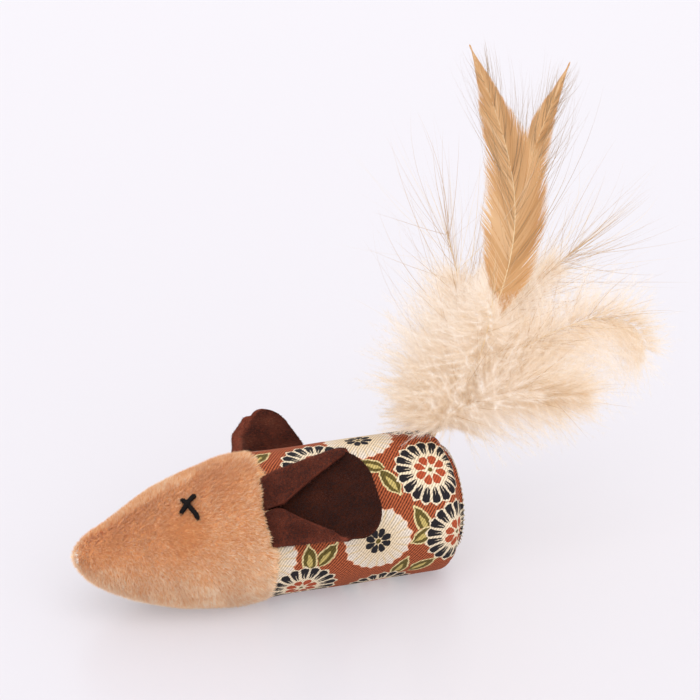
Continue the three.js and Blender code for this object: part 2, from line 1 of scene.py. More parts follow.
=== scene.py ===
# Catnip mouse: a stuffed cat toy with a plush head, a printed canvas body, two suede ears, stitched eyes and
# a tail of feathers. +Z is up, the nose points to -X and the tail to +X, and the left flank faces -Y.
# Shapes are worked out in millimetres and turned to metres when a mesh is made.
import bpy
import bmesh
import json
import math
import numpy as np
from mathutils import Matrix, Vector


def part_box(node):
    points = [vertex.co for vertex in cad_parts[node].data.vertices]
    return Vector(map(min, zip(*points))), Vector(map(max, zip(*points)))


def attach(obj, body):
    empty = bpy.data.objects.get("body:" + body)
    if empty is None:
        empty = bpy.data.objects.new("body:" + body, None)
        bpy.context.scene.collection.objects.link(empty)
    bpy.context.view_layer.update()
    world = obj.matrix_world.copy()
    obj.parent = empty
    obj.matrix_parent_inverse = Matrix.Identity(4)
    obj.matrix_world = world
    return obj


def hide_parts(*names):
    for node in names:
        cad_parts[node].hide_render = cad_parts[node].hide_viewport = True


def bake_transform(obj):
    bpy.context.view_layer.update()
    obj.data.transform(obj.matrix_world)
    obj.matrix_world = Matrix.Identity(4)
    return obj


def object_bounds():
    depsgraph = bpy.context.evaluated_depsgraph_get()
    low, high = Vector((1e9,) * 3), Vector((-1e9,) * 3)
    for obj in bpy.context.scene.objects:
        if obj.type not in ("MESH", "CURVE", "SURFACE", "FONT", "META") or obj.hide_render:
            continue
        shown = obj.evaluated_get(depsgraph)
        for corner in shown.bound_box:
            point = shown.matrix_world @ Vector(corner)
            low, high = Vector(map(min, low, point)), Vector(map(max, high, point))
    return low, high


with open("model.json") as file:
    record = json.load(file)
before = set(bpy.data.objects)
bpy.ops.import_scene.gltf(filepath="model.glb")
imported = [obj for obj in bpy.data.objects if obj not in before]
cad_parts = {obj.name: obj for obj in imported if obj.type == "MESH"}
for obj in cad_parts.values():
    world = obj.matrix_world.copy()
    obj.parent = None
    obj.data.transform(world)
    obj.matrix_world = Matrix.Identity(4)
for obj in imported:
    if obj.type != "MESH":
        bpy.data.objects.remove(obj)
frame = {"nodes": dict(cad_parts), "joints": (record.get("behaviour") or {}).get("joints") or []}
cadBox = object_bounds()
mm = 0.001
print("frame loaded")


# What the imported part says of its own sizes
def boxOf(node):
    low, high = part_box(node)
    return np.array(low) / mm, np.array(high) / mm


headLow, headHigh = boxOf("head_cover")
bodyLow, bodyHigh = boxOf("body_tube")
discLow, discHigh = boxOf("rump_disc")
joints = {joint["name"]: joint for joint in frame["joints"]}
noseX = headLow[0]
neckX = (headHigh[0] + bodyLow[0]) / 2
rumpX = discHigh[0]
headLength = neckX - noseX
headRadius = headHigh[1]
bodyRadius = bodyHigh[1]
axisHeight = bodyHigh[2] - bodyRadius
noseHeight = min((v.co.x, v.co.z) for v in frame["nodes"]["head_cover"].data.vertices)[1] / mm
tailRoot = np.array(joints["tail_nod"]["pos_m"]) / mm
crownTurn = math.degrees(math.atan2(tailRoot[1], tailRoot[2] - axisHeight))  # how far the mouse has rolled


# Camera and light
view = {
    "place": (-178.468, -560.116, 329.586),
    "azimuth": -18,
    "elevation": 24,
    "lens": 125.357,
    "sensor": 36,
    "floorSize": 4000,
    "floor": "#b3b0b4",
    "floorGlow": 0.325,
    "glow": "#f7f4f8",
    "sky": "#f8f7fb",
    "skyStrength": 1.0,
    "sunStrength": 1.6,
    "sunSoftness": 80,
    "sunWay": (0.05, 0.72, -0.8),
}


def toLinear(hexColour):
    channels = [int(hexColour[i:i + 2], 16) / 255 for i in (1, 3, 5)]
    return [c / 12.92 if c <= 0.04045 else ((c + 0.055) / 1.055) ** 2.4 for c in channels] + [1.0]


# Adds a node. inputs are its visible sockets in order, or a dictionary of sockets by name, each a value, a
# socket or a node whose first output is meant. A colour ramp takes a position and a colour for each end
def addNode(tree, kind, inputs=(), ramp=(), **settings):
    node = tree.nodes.new("ShaderNode" + kind)
    for setting, value in settings.items():
        setattr(node, setting, value)
    for end, (position, hexColour) in zip(node.color_ramp.elements if ramp else (), ramp):
        end.position = position
        end.color = toLinear(hexColour)
    if not isinstance(inputs, dict):
        shown = [socket for socket in node.inputs if socket.enabled]
        inputs = {socket.identifier: value for socket, value in zip(shown, inputs)}
    for key, value in inputs.items():
        socket = next(s for s in node.inputs if key in (s.identifier, s.name) and s.enabled)
        if isinstance(value, bpy.types.Node):
            value = next(s for s in value.outputs if s.enabled)
        if isinstance(value, bpy.types.NodeSocket):
            tree.links.new(value, socket)
        elif value is not None:
            socket.default_value = value
    return node


def newMaterial(name, hexColour, roughness, specular=0.5, **settings):
    material = bpy.data.materials.new(name)
    material.use_nodes = True
    shader = material.node_tree.nodes["Principled BSDF"]
    colour = toLinear(hexColour)
    settings.update({"Base Color": colour, "Roughness": roughness, "Specular IOR Level": specular})
    for setting, value in settings.items():
        shader.inputs[setting].default_value = value
    return material, material.node_tree, shader


# Gives a shader the colour that one node makes, and a relief of depth millimetres from another's height
def finishShader(tree, shader, colour, height, strength, depth):
    relief = addNode(tree, "Bump", {"Strength": strength, "Distance": depth * mm, "Height": height})
    for node, key in ((colour, "Base Color"), (relief, "Normal")):
        tree.links.new(next(s for s in node.outputs if s.enabled), shader.inputs[key])


# Puts a camera or a light in the scene that looks along way
def addLooking(data, way):
    thing = bpy.data.objects.new(data.name, data)
    bpy.context.scene.collection.objects.link(thing)
    thing.rotation_mode = "QUATERNION"
    thing.rotation_quaternion = Vector(way).to_track_quat("-Z", "Y")
    return thing


azimuth, elevation = math.radians(view["azimuth"]), math.radians(view["elevation"])
lookBack = Vector((math.sin(azimuth) * math.cos(elevation), -math.cos(azimuth) * math.cos(elevation),
                   math.sin(elevation)))
camera = addLooking(bpy.data.cameras.new("camera"), -lookBack)
camera.location = Vector(view["place"]) * mm
camera.data.lens = view["lens"]
camera.data.sensor_width = view["sensor"]
camera.data.clip_start = 0.01
camera.data.clip_end = 20
bpy.context.scene.camera = camera
bpy.context.scene.view_settings.view_transform = "Standard"

world = bpy.data.worlds.new("studio")
bpy.context.scene.world = world
world.use_nodes = True
background = world.node_tree.nodes["Background"]
background.inputs["Color"].default_value = toLinear(view["sky"])
path = addNode(world.node_tree, "LightPath")
seen = addNode(world.node_tree, "Math", [path.outputs["Is Camera Ray"], path.outputs["Is Glossy Ray"]],
               operation="MAXIMUM")
seen = addNode(world.node_tree, "Math", [seen, path.outputs["Is Transmission Ray"]], operation="MAXIMUM")
strength = addNode(world.node_tree, "Mix", [seen, view["skyStrength"], 1.0])
world.node_tree.links.new(strength.outputs[0], background.inputs["Strength"])

sun = addLooking(bpy.data.lights.new("softbox", "SUN"), view["sunWay"])
sun.data.energy = view["sunStrength"]
sun.data.angle = math.radians(view["sunSoftness"])

bm = bmesh.new()
bmesh.ops.create_grid(bm, x_segments=4, y_segments=4, size=view["floorSize"] * mm / 2)
floorMesh = bpy.data.meshes.new("floor")
bm.to_mesh(floorMesh)
bm.free()
floor = bpy.data.objects.new("floor", floorMesh)
bpy.context.scene.collection.objects.link(floor)
# Backlit acrylic sheet: it glows a little and mirrors faintly, so that the ground is pale and has no edge
floorMesh.materials.append(newMaterial("backlit studio acrylic", view["floor"], 0.32, **{
    "Emission Strength": view["floorGlow"], "Emission Color": toLinear(view["glow"])})[0])
print("camera, light and floor placed")


# Lines and surfaces
def smoothLine(points, steps=14):
    points = np.array(points, float)
    padded = np.vstack([points[:1], points, points[-1:]])
    t = np.linspace(0, 1, steps, endpoint=False)[:, None]
    spans = []
    for a, b, c, d in zip(padded, padded[1:], padded[2:], padded[3:]):
        spans.append(0.5 * (2 * b + (c - a) * t + (2 * a - 5 * b + 4 * c - d) * t ** 2
                            + (3 * b - a - 3 * c + d) * t ** 3))
    return np.vstack([*spans, points[-1:]])


def reachAlong(line):
    return np.concatenate([[0], np.cumsum(np.linalg.norm(np.diff(line, axis=0), axis=1))])


def alongLine(line, share):
    reach = reachAlong(line)
    spot = np.clip(share, 0, 1) * reach[-1]
    return np.stack([np.interp(spot, reach, line[:, i]) for i in range(line.shape[1])], axis=-1)


def lineLength(line):
    return np.linalg.norm(np.diff(line, axis=0), axis=1).sum()


# Where a surface turned from a line of x and radius lies, as x, radius and angle, its seam at the belly
def turnedAt(line, around, along):
    spot = alongLine(line, along)
    return spot[:, 0], spot[:, 1], around * 2 * math.pi - math.pi / 2


# A smooth field of about -1 to 1 that drifts over roughly size millimetres
def drift(points, size, seed):
    dice = np.random.default_rng(seed)
    waves = dice.normal(size=(9, 3)) * 1.6 / size
    phases = dice.uniform(0, 2 * math.pi, 9)
    return np.sin(points @ waves.T + phases).mean(axis=-1) * 2.2


# The height of the mouse's axis, which falls towards the nose and turns up again in its last two centimetres
def axisAt(x):
    upturn = plush["noseUpturn"] * np.clip(1 - (x - noseX) / plush["upturnReach"], 0, 1) ** 2
    return axisHeight - (axisHeight - noseHeight) * np.clip((neckX - x) / headLength, 0, 1) + upturn


# Points round the axis at x, radius and angle, where angle 0 faces -Y and a quarter turn is up. The belly is
# pressed flat on the floor, as far as soften reaches into it
def roundAxis(x, radius, angle, lowest=0.0, soften=0.8):
    height = axisAt(x) + radius * np.sin(angle)
    sunk = np.clip((lowest + soften - height) / (2 * soften), 0, None)
    height = np.where(height < lowest + soften, lowest + soften * np.exp(-2 * sunk), height)
    return np.stack([x + 0 * angle, -radius * np.cos(angle), height], axis=-1)


# A grid laid on a surface by place, which gets arrays of shares across and along. The map named cloth holds
# where each corner lies on the flat cloth, in metres
def gridMesh(name, across, along, place, cloth):
    bm = bmesh.new()
    flat = bm.loops.layers.uv.new("cloth")
    bmesh.ops.create_grid(bm, x_segments=across, y_segments=along, size=0.5, calc_uvs=True)
    shares = np.array([vert.co[:2] for vert in bm.verts]) + 0.5
    corners = np.stack(cloth(shares[:, 0], shares[:, 1]), axis=1) * mm
    for face in bm.faces:
        for loop in face.loops:
            loop[flat].uv = corners[loop.vert.index]
    for vert, point in zip(bm.verts, place(shares[:, 0], shares[:, 1]) * mm):
        vert.co = point
    bmesh.ops.remove_doubles(bm, verts=bm.verts, dist=0.01 * mm)
    bmesh.ops.recalc_face_normals(bm, faces=bm.faces)
    mesh = bpy.data.meshes.new(name)
    bm.to_mesh(mesh)
    bm.free()
    mesh.polygons.foreach_set("use_smooth", [True] * len(mesh.polygons))
    return mesh


# Puts a finished mesh in the scene on the body that carries it. wall is the cloth's thickness in millimetres
def addPiece(mesh, materials, body, stands=(), wall=0, offset=-1):
    piece = bpy.data.objects.new(mesh.name, mesh)
    bpy.context.scene.collection.objects.link(piece)
    for material in materials:
        mesh.materials.append(material)
    if body:
        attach(piece, body)
    if stands:
        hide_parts(*stands)
    if wall:
        cloth = piece.modifiers.new("wall", "SOLIDIFY")
        cloth.thickness = wall * mm
        cloth.offset = offset
    return piece


# Tens of thousands of hairs, each a ribbon that narrows to a point. Each set is the points of its hairs
# (hair, step, xyz), the ribbon's half width at its root, the way that its flat side lies and a tone for each
def hairMesh(name, sets):
    corners, loops, starts, tones = [], [], [], []
    base = loopBase = 0
    for paths, width, sideways, tone in sets:
        hairs, steps = paths.shape[:2]
        taper = (1 - np.linspace(0, 1, steps)[:-1] ** 1.6)[None, :, None]
        width = np.broadcast_to(np.asarray(width, float).reshape(-1, 1, 1), (hairs, 1, 1)) * taper
        side = sideways / np.maximum(np.linalg.norm(sideways, axis=-1, keepdims=True), 1e-9)
        pair = np.stack([paths[:, :-1] - side[:, :-1] * width, paths[:, :-1] + side[:, :-1] * width], axis=2)
        own = np.concatenate([pair.reshape(hairs, -1, 3), paths[:, -1:]], axis=1)
        row = np.arange(steps - 2)[:, None] * 2 + np.array([0, 1, 3, 2])
        order = np.concatenate([row.ravel(), [2 * steps - 4, 2 * steps - 3, 2 * steps - 2]])
        sizes = np.array([4] * (steps - 2) + [3])
        corners.append(own.reshape(-1, 3))
        loops.append((order + base + np.arange(hairs)[:, None] * (2 * steps - 1)).ravel())
        offsets = np.concatenate([[0], np.cumsum(sizes)[:-1]])
        starts.append((offsets + loopBase + np.arange(hairs)[:, None] * sizes.sum()).ravel())
        tones.append(np.repeat(np.broadcast_to(tone, hairs), steps - 1))
        base += hairs * (2 * steps - 1)
        loopBase += hairs * sizes.sum()
    corners, loops, starts = np.concatenate(corners) * mm, np.concatenate(loops), np.concatenate(starts)
    mesh = bpy.data.meshes.new(name)
    mesh.vertices.add(len(corners))
    mesh.vertices.foreach_set("co", corners.astype(np.float32).ravel())
    mesh.loops.add(len(loops))
    mesh.loops.foreach_set("vertex_index", loops.astype(np.int32))
    mesh.polygons.add(len(starts))
    mesh.polygons.foreach_set("loop_start", starts.astype(np.int32))
    mesh.polygons.foreach_set("material_index", np.concatenate(tones).astype(np.int32))
    mesh.update(calc_edges=True)
    return mesh


# One value, or one row of values, for each item of a mesh
def readOff(items, key, width=1, kind=np.float32):
    values = np.zeros(len(items) * width, kind)
    items.foreach_get(key, values)
    return values.reshape(-1, width)


# Places strewn evenly over a mesh's faces, more of them where wanted says: the point and the normal of each,
# and where it lies on the flat cloth
def strewn(mesh, count, dice, wanted=None):
    mesh.calc_loop_triangles()
    triangle = readOff(mesh.loop_triangles, "vertices", 3, np.int32)
    corner = readOff(mesh.vertices, "co", 3) / mm
    a, b, c = (corner[triangle[:, i]] for i in range(3))
    area = np.linalg.norm(np.cross(b - a, c - a), axis=1)
    if wanted:
        area = area * wanted((a + b + c) / 3)
    picked = dice.choice(len(triangle), count, p=area / area.sum())
    first, second = np.sqrt(dice.random(count)), dice.random(count)
    weight = np.stack([1 - first, first * (1 - second), first * second], axis=1)[:, :, None]
    place = (corner[triangle[picked]] * weight).sum(axis=1)
    facing = unit((readOff(mesh.vertices, "normal", 3)[triangle[picked]] * weight).sum(axis=1))
    loop = readOff(mesh.loop_triangles, "loops", 3, np.int32)[picked]
    flat = readOff(mesh.uv_layers["cloth"].data, "uv", 2)[loop] / mm
    return place, facing, (flat * weight).sum(axis=1)


def unit(vectors):
    return vectors / np.maximum(np.linalg.norm(vectors, axis=-1, keepdims=True), 1e-9)


# Plush: polyester velboa, knitted with a cut pile of about 1.5 mm that is brushed towards the neck. The pile
# gives the eye a soft matt surface with pale rims, and deeper orange where it is brushed flat
plush = {
    "skin": ["#cf8a52", "#ecb680"],
    "knitPitch": 0.6,
    "knitDepth": 0.3,
    "cloth": 0.9,
    "tones": ["#e09a5f", "#efbc88", "#f6d3ab", "#fcebd5"],
    "pile": 1.6,
    "inset": 0.95,
    "hairs": 66000,
    "coats": 2,
    "hairWidth": 0.075,
    "noseUpturn": 3.4,
    "upturnReach": 19,
    "tuftSize": 0.42,
    "noseTrim": 2.3,
    "trimReach": 9,
    "neckReach": 2.5,
    "earAngles": (38, 168),
    "earReach": 31,
    "profileShares": [(0, 0), (0.012, 0.09), (0.04, 0.16), (0.14, 0.355), (0.32, 0.595), (0.52, 0.815),
                      (0.72, 0.94), (0.88, 1), (1, 0.985)],
    "foldRadius": 1.2,
    "foldDepth": 3.0,
    "gathers": 21,
    "gatherDepth": 0.35,
    "gatherReach": 4.5,
}
# Where the pile is brushed flat: distance from the nose, angle up the left flank, size in mm and strength
flatPatches = [
    (29.5, 42, 7.5, 1.0),
    (11.5, 55, 6.5, 0.85),
    (42, 76, 9, 0.6),
    (20, 62, 6, 0.5),
]


def plushSkin():
    material, tree, shader = newMaterial("velboa plush, backing", plush["skin"][0], 1.0)
    place = addNode(tree, "TexCoord").outputs["Object"]
    knit = addNode(tree, "TexNoise", {"Vector": place, "Scale": 1 / (plush["knitPitch"] * mm),
                                      "Detail": 2.0})
    tone = addNode(tree, "ValToRGB", [knit], zip((0, 1), plush["skin"]))
    finishShader(tree, shader, tone, knit, 0.5, plush["knitDepth"])
    return material


def pileMaterials():
    sheen = {"Sheen Weight": 0.25, "Sheen Roughness": 0.5}
    return [newMaterial(f"velboa plush, pile {number + 1}", tone, 0.85, 0.25, **sheen)[0]
            for number, tone in enumerate(plush["tones"])]


headLine = smoothLine(plush["profileShares"]) * (headLength, headRadius) + (noseX, 0)
neckRadius = headLine[-1][1]
fold = np.linspace(0, math.pi / 2, 6)[:, None]
headLine = np.vstack([
    headLine[headLine[:, 0] < neckX - plush["foldRadius"]],
    np.hstack([neckX - plush["foldRadius"] * (1 - np.sin(fold)),
               neckRadius - plush["foldRadius"] * (1 - np.cos(fold))]),
    [[neckX, neckRadius - plush["foldDepth"]]],
])


def headPlace(around, along):
    x, radius, angle = turnedAt(headLine, around, along)
    x = x + plush["noseTrim"] * np.clip(1 - (x - noseX) / plush["trimReach"], 0, 1) ** 2
    points = roundAxis(x, radius, angle)
    near = np.exp(-np.clip(neckX - x, 0, None) / plush["gatherReach"])
    lumps = 0.16 * drift(points, 12, 3) + 0.07 * drift(points, 5, 4)
    gathers = plush["gatherDepth"] * near * np.sin(plush["gathers"] * angle + 1.3 * np.sin(3 * angle))
    inset = np.minimum(plush["inset"], radius) * np.clip((neckX + 0.3 - x) / 1.5, 0.35, 1)
    radius = np.maximum(0, radius - inset + (lumps + gathers) * np.clip(radius / 8, 0, 1))
    return roundAxis(x, radius, angle, lowest=plush["inset"] * 0.6)


# The way that the pile is brushed: to the neck, and downwards more and more towards the nose, with swirls
def pileWay(place, facing):
    back = unit(np.array([1.0, 0, 0]) - facing * facing[:, :1])
    down = unit(np.cross(back, facing))
    down = down * np.sign(-down[:, 2:] + 1e-9)
    depth = np.clip((neckX - place[:, 0]) / headLength, 0, 1)
    swirl = 0.3 * drift(place, 7, 11) + 0.2 * drift(place, 2.5, 12)
    turn = np.radians(8 + 30 * depth) + swirl * 0.7
    return unit(back * np.cos(turn)[:, None] + down * np.sin(turn)[:, None])


# The angle of places round the axis, in degrees up from the left flank
def turnOf(place):
    return np.degrees(np.arctan2(place[:, 2] - axisAt(place[:, 0]), -place[:, 1]))


# How flat the pile is brushed at places, from 0 to 1
def patchiness(place):
    angle, fromAxis = turnOf(place), np.hypot(place[:, 1], place[:, 2] - axisAt(place[:, 0]))
    flat = np.zeros(len(place))
    for fromNose, up, size, strength in flatPatches:
        for middle in (up, 180 + 2 * crownTurn - up):
            gap = np.hypot(place[:, 0] - noseX - fromNose, np.radians(angle - middle) * fromAxis) / size
            flat = np.maximum(flat, strength * np.exp(-gap ** 2))
    return np.clip(flat + 0.18 * drift(place, 4, 21), 0, 1)


# A coat of hairs: brushed back, short at the nose, and long enough at the neck to lie over the seam
def growPlush(source, name, seed):
    dice = np.random.default_rng(seed)
    count = plush["hairs"]
    place, facing, _ = strewn(source, count, dice, lambda spots: spots[:, 0] < neckX - 0.05)
    way = pileWay(place, facing)
    flat = patchiness(place)
    side = unit(np.cross(facing, way))
    atNeck = np.clip(1 - (neckX - place[:, :1]) / plush["neckReach"], 0, 1)
    tuft = drift(place, plush["tuftSize"], 33)[:, None]
    way = unit(way + side * (dice.normal(0, 0.3, (count, 1)) + 0.5 * tuft) * (1 - atNeck))
    lift = np.clip(dice.normal(1.0, 0.16, (count, 1)) - 0.35 * flat[:, None] + 0.2 * tuft, 0.35, 1.35)
    fromEars = [(turnOf(place)[:, None] - middle) / plush["earReach"] for middle in plush["earAngles"]]
    overEar = sum(np.exp(-gap ** 4) for gap in fromEars) * atNeck
    lift = lift * (1 - atNeck) + (0.3 + 0.5 * overEar) * atNeck
    length = plush["pile"] * dice.uniform(0.75, 1.12, (count, 1)) * (1 + 0.55 * atNeck + 0.35 * overEar)
    length *= np.clip((place[:, :1] - noseX) / 3 + 0.5, 0, 1)
    root = place - facing * 0.15
    middle = root + length * 0.5 * unit(facing * (lift + 0.25) + way * 0.6)
    tip = root + length * unit(facing * lift + way * (1.1 - lift * 0.55))
    for points, clearance in ((tip, 0.05), (middle, 0.08), (root, 0.1)):  # above the floor
        points[:, 2] = np.maximum(points[:, 2], clearance)
    paths = np.stack([root, middle, tip], axis=1)
    # Painted light: the lower a hair sits on the head, the paler the tone it is given, so the top is painted
    # darker and the underside paler
    paintedUnderLight = np.clip((axisAt(place[:, 0]) - place[:, 2]) / 18 + 0.35, 0, 1)
    score = 1.5 + 0.75 * paintedUnderLight - 1.9 * flat + dice.normal(0, 0.6, count)
    score = score + 0.55 * drift(place, plush["tuftSize"], 31) + 0.15 * drift(place, 2.5, 32)
    tone = np.clip(np.round(score), 0, 3).astype(int)
    sideways = np.repeat(side[:, None] + facing[:, None] * dice.normal(0, 0.25, (count, 1, 1)), 3, axis=1)
    return hairMesh(name, [(paths, plush["hairWidth"] * dice.uniform(0.7, 1.3, count), sideways, tone)])


headMesh = gridMesh("head_plush", 112, 72, headPlace,
                    lambda around, along: (along * lineLength(headLine), around * 2 * math.pi * headRadius))
headPlush = addPiece(headMesh, [plushSkin()], "mouse", ["head_cover"], wall=plush["cloth"])
pileTones = pileMaterials()
for coat in range(plush["coats"]):
    addPiece(growPlush(headMesh, f"head_pile_{coat + 1}", 40 + coat), pileTones, "mouse")
print("plush head made")


# Canvas: cotton twill with about 14 slanting ribs to a centimetre, a little coarser than real ones so that
# they show, and printed with chrysanthemums. The weave gives the eye a dry, hatched surface, most of all on
# the terracotta ground, and its troughs are painted darker: painted shade, over the threads' own uneven tone
canvas = {
    "wall": 0.8,
    "threadPitch": 0.7,
    "threadDepth": 0.12,
    "ribPitch": 0.72,
    "ribWay": (0.8, -0.6, 0),
    "ground": "#ad5833",
    "groundPaintedShade": "#5c2410",
    "cream": "#e2d0b2",
    "white": "#dcd1c4",
    "straw": "#d8c09a",
    "salmon": "#e9b38f",
    "black": "#1d1a1e",
    "olive": "#5f5122",
    "red": "#a84a2a",
    "leafEdge": "#d8c490",
    "leafVein": "#bda864",
    "outerPetals": 18,
    "whitePetals": 20,
    "innerPetals": 8,
    "straightenedEdge": 1.2,
    "hemDepth": 3.2,
    "rumpDepth": 8.3,
    "rumpPower": 2.9,
    "hemRadius": 13.9,
    "openRadius": 12.6,
    "hemRound": [(0.1, 13.9), (0.9, 13.2), (1.6, 12.6)],
    "inset": 0.25,
    "neckCreases": 19,
    "neckCreaseDepth": 0.3,
    "puckers": 26,
    "puckerDepth": 0.28,
    "discBulge": 0.5,
    "discInset": 0.75,
    "discFolds": 24,
    "discFoldDepth": 0.15,
    "discShift": (-4, 24, 0),
}
# Half widths of what is printed, along a leaf or out from a flower's middle, both as shares of motifSize
motifSize = 10
leafBlade = [(0, 0), (0.08, 0.02), (0.22, 0.14), (0.45, 0.185), (0.72, 0.13), (0.9, 0.02), (1, 0)]
leafSlit = [(0, 0), (0.16, 0.02), (0.34, 0.075), (0.6, 0.045), (0.7, 0), (1, 0)]
whitePetal = [(0, 0), (0.07, 0), (0.12, 0.04), (0.25, 0.1), (0.34, 0.09), (0.39, 0), (1, 0)]
outerPetal = [(0, 0), (0.46, 0), (0.53, 0.05), (0.68, 0.09), (0.82, 0.12), (0.905, 0.115), (0.955, 0),
              (1, 0)]
petalSlit = [(0, 0.02), (0.5, 0.022), (0.7, 0.012), (0.76, 0), (1, 0)]
redPetal = [(0, 0), (0.12, 0), (0.17, 0.04), (0.3, 0.115), (0.4, 0.11), (0.46, 0), (1, 0)]
chrysanthemums = [  # along the cloth, up the cloth and turn in degrees
    (22.1, 18.0, 4), (28.2, -1.0, 9), (-7.6, 24.9, 0), (-15.0, -14.3, 5), (8.2, -22.8, 0), (24.2, 42, 3),
    (4.2, 56, 0), (-16.9, 72, 6), (25.2, 85, 2),
]
whiteFlowers = [
    (5.1, 0.4, 10), (6.8, 34.4, 0), (-26.6, -1, 20), (-15.9, 50, 0), (24.2, 64, 12), (3.2, 78, 5),
    (-18.9, 89, 0),
]
leaves = [
    (17.6, 4.6, 115), (18.6, 0.2, 25), (18.4, -11.4, 35), (12.4, -11, 70), (-13.9, -2.0, 95),
    (-9.2, -1.6, 50), (10.3, 16.6, 118), (6.2, 22.3, 150), (-22.2, 31.6, 30), (-18.6, 22.5, 10),
    (-16.9, 19.7, 20), (14, 50, 80), (14, 66, 10), (-6, 46, 60), (-6, 64, 120), (14, 74, 60), (-7, 84, 20),
    (15, 93, 90), (-21, 61, 10),
]


def printedCanvas(name, shift=(0, 0, 0)):
    material, tree, shader = newMaterial(name, canvas["ground"], 0.9, 0.3)
    cloth = addNode(tree, "UVMap", uv_map="cloth")
    flat = addNode(tree, "VectorMath", [cloth, (1 / mm,) * 3], operation="MULTIPLY")
    flat = addNode(tree, "VectorMath", [flat, shift], operation="ADD")
    smear = addNode(tree, "TexNoise", {"Vector": flat, "Scale": 0.8, "Detail": 2.0})
    smear = addNode(tree, "VectorMath", [smear.outputs["Color"], (0.5, 0.5, 0.5)], operation="SUBTRACT")
    smear = addNode(tree, "VectorMath", [smear, (0.8, 0.8, 0)], operation="MULTIPLY")
    smeared = addNode(tree, "VectorMath", [flat, smear], operation="ADD")

    def nearest(motifs, spin):  # the way and the distance from the middle of the closest motif
        gap = length = None
        for x, y, turn in motifs:
            own = addNode(tree, "VectorMath", [smeared, (x, y, 0)], operation="SUBTRACT")
            if spin:
                own = addNode(tree, "VectorRotate", [own, (0, 0, 0), math.radians(-turn)],
                              rotation_type="Z_AXIS")
            far = addNode(tree, "VectorMath", [own], operation="LENGTH")
            if gap is None:
                gap, length = own, far
                continue
            closer = addNode(tree, "Math", [far, length], operation="LESS_THAN")
            gap = addNode(tree, "Mix", [closer, gap, own], data_type="VECTOR")
            length = addNode(tree, "Math", [far, length], operation="MINIMUM")
        return addNode(tree, "SeparateXYZ", [gap]), length

    def shape(length, points):  # a half width in mm, read off along a petal or a leaf
        share = addNode(tree, "Math", [length, 1 / motifSize], operation="MULTIPLY")
        curve = addNode(tree, "FloatCurve", {"Value": share})
        line = curve.mapping.curves[0]
        for spot in points[1:-1]:
            line.points.new(*spot)
        line.points[0].location, line.points[-1].location = points[0], points[-1]
        curve.mapping.extend = "HORIZONTAL"
        curve.mapping.update()
        return addNode(tree, "Math", [curve, motifSize, -0.1], operation="MULTIPLY_ADD")

    def petals(gap, length, count, turn=0.0):  # how far a point lies from the middle line of its petal
        angle = addNode(tree, "Math", [gap.outputs["Y"], gap.outputs["X"]], operation="ARCTAN2")
        share = addNode(tree, "Math", [angle, count / (2 * math.pi), turn + count], operation="MULTIPLY_ADD")
        share = addNode(tree, "Math", [share], operation="FRACT")
        share = addNode(tree, "Math", [share, 0.5], operation="SUBTRACT")
        share = addNode(tree, "Math", [share], operation="ABSOLUTE")
        turned = addNode(tree, "Math", [share, 2 * math.pi / count], operation="MULTIPLY")
        return addNode(tree, "Math", [turned, length], operation="MULTIPLY")

    def within(value, limit, soft=0.16):  # 1 where value is under limit, with a slightly bled edge
        gap = addNode(tree, "Math", [limit, value], operation="SUBTRACT")
        return addNode(tree, "Math", [gap, 1 / soft, 0.5], operation="MULTIPLY_ADD", use_clamp=True)

    def inked(colour, ink, *masks):  # prints an ink on what is there, as much as all the masks let through
        mask = masks[0]
        for other in masks[1:]:
            mask = addNode(tree, "Math", [mask, other], operation="MULTIPLY")
        ink = toLinear(ink) if isinstance(ink, str) else ink
        return addNode(tree, "Mix", [mask, colour, ink], data_type="RGBA")

    crossed = addNode(tree, "VectorMath", [flat, (math.pi / canvas["threadPitch"],) * 3],
                      operation="MULTIPLY")
    crossed = addNode(tree, "VectorMath", [crossed], operation="SINE")
    crossed = addNode(tree, "SeparateXYZ", [crossed])
    checker = addNode(tree, "Math", [crossed.outputs["X"], crossed.outputs["Y"]], operation="MULTIPLY")
    slub = addNode(tree, "TexNoise", {"Vector": flat, "Scale": 1.7, "Detail": 3.0})
    ribs = addNode(tree, "VectorMath", [flat, canvas["ribWay"]], operation="DOT_PRODUCT").outputs["Value"]
    ribs = addNode(tree, "Math", [ribs, 2 * math.pi / canvas["ribPitch"]], operation="MULTIPLY")
    ribs = addNode(tree, "Math", [ribs], operation="SINE")
    weave = addNode(tree, "Math", [checker, 0.16, 0.1], operation="MULTIPLY_ADD")
    weave = addNode(tree, "Math", [ribs, 0.44, weave], operation="MULTIPLY_ADD")
    weave = addNode(tree, "Math", [slub.outputs["Fac"], weave], operation="ADD", use_clamp=True)
    # The ground is painted darker in the weave's troughs: painted shade, mixed with the slubs' own uneven
    # tone
    colour = inked(toLinear(canvas["groundPaintedShade"]), canvas["ground"], weave)

    gap, length = nearest(leaves, True)
    across = addNode(tree, "Math", [gap.outputs["Y"]], operation="ABSOLUTE")
    along = addNode(tree, "Math", [gap.outputs["X"], motifSize / 2], operation="ADD")
    blade = shape(along, leafBlade)
    outline = within(across, addNode(tree, "Math", [blade, 0.5], operation="ADD"))
    colour = inked(colour, canvas["leafEdge"], outline, within(length, 4.9))
    colour = inked(colour, canvas["olive"], within(across, blade))
    colour = inked(colour, canvas["leafVein"], within(across, shape(along, leafSlit)))

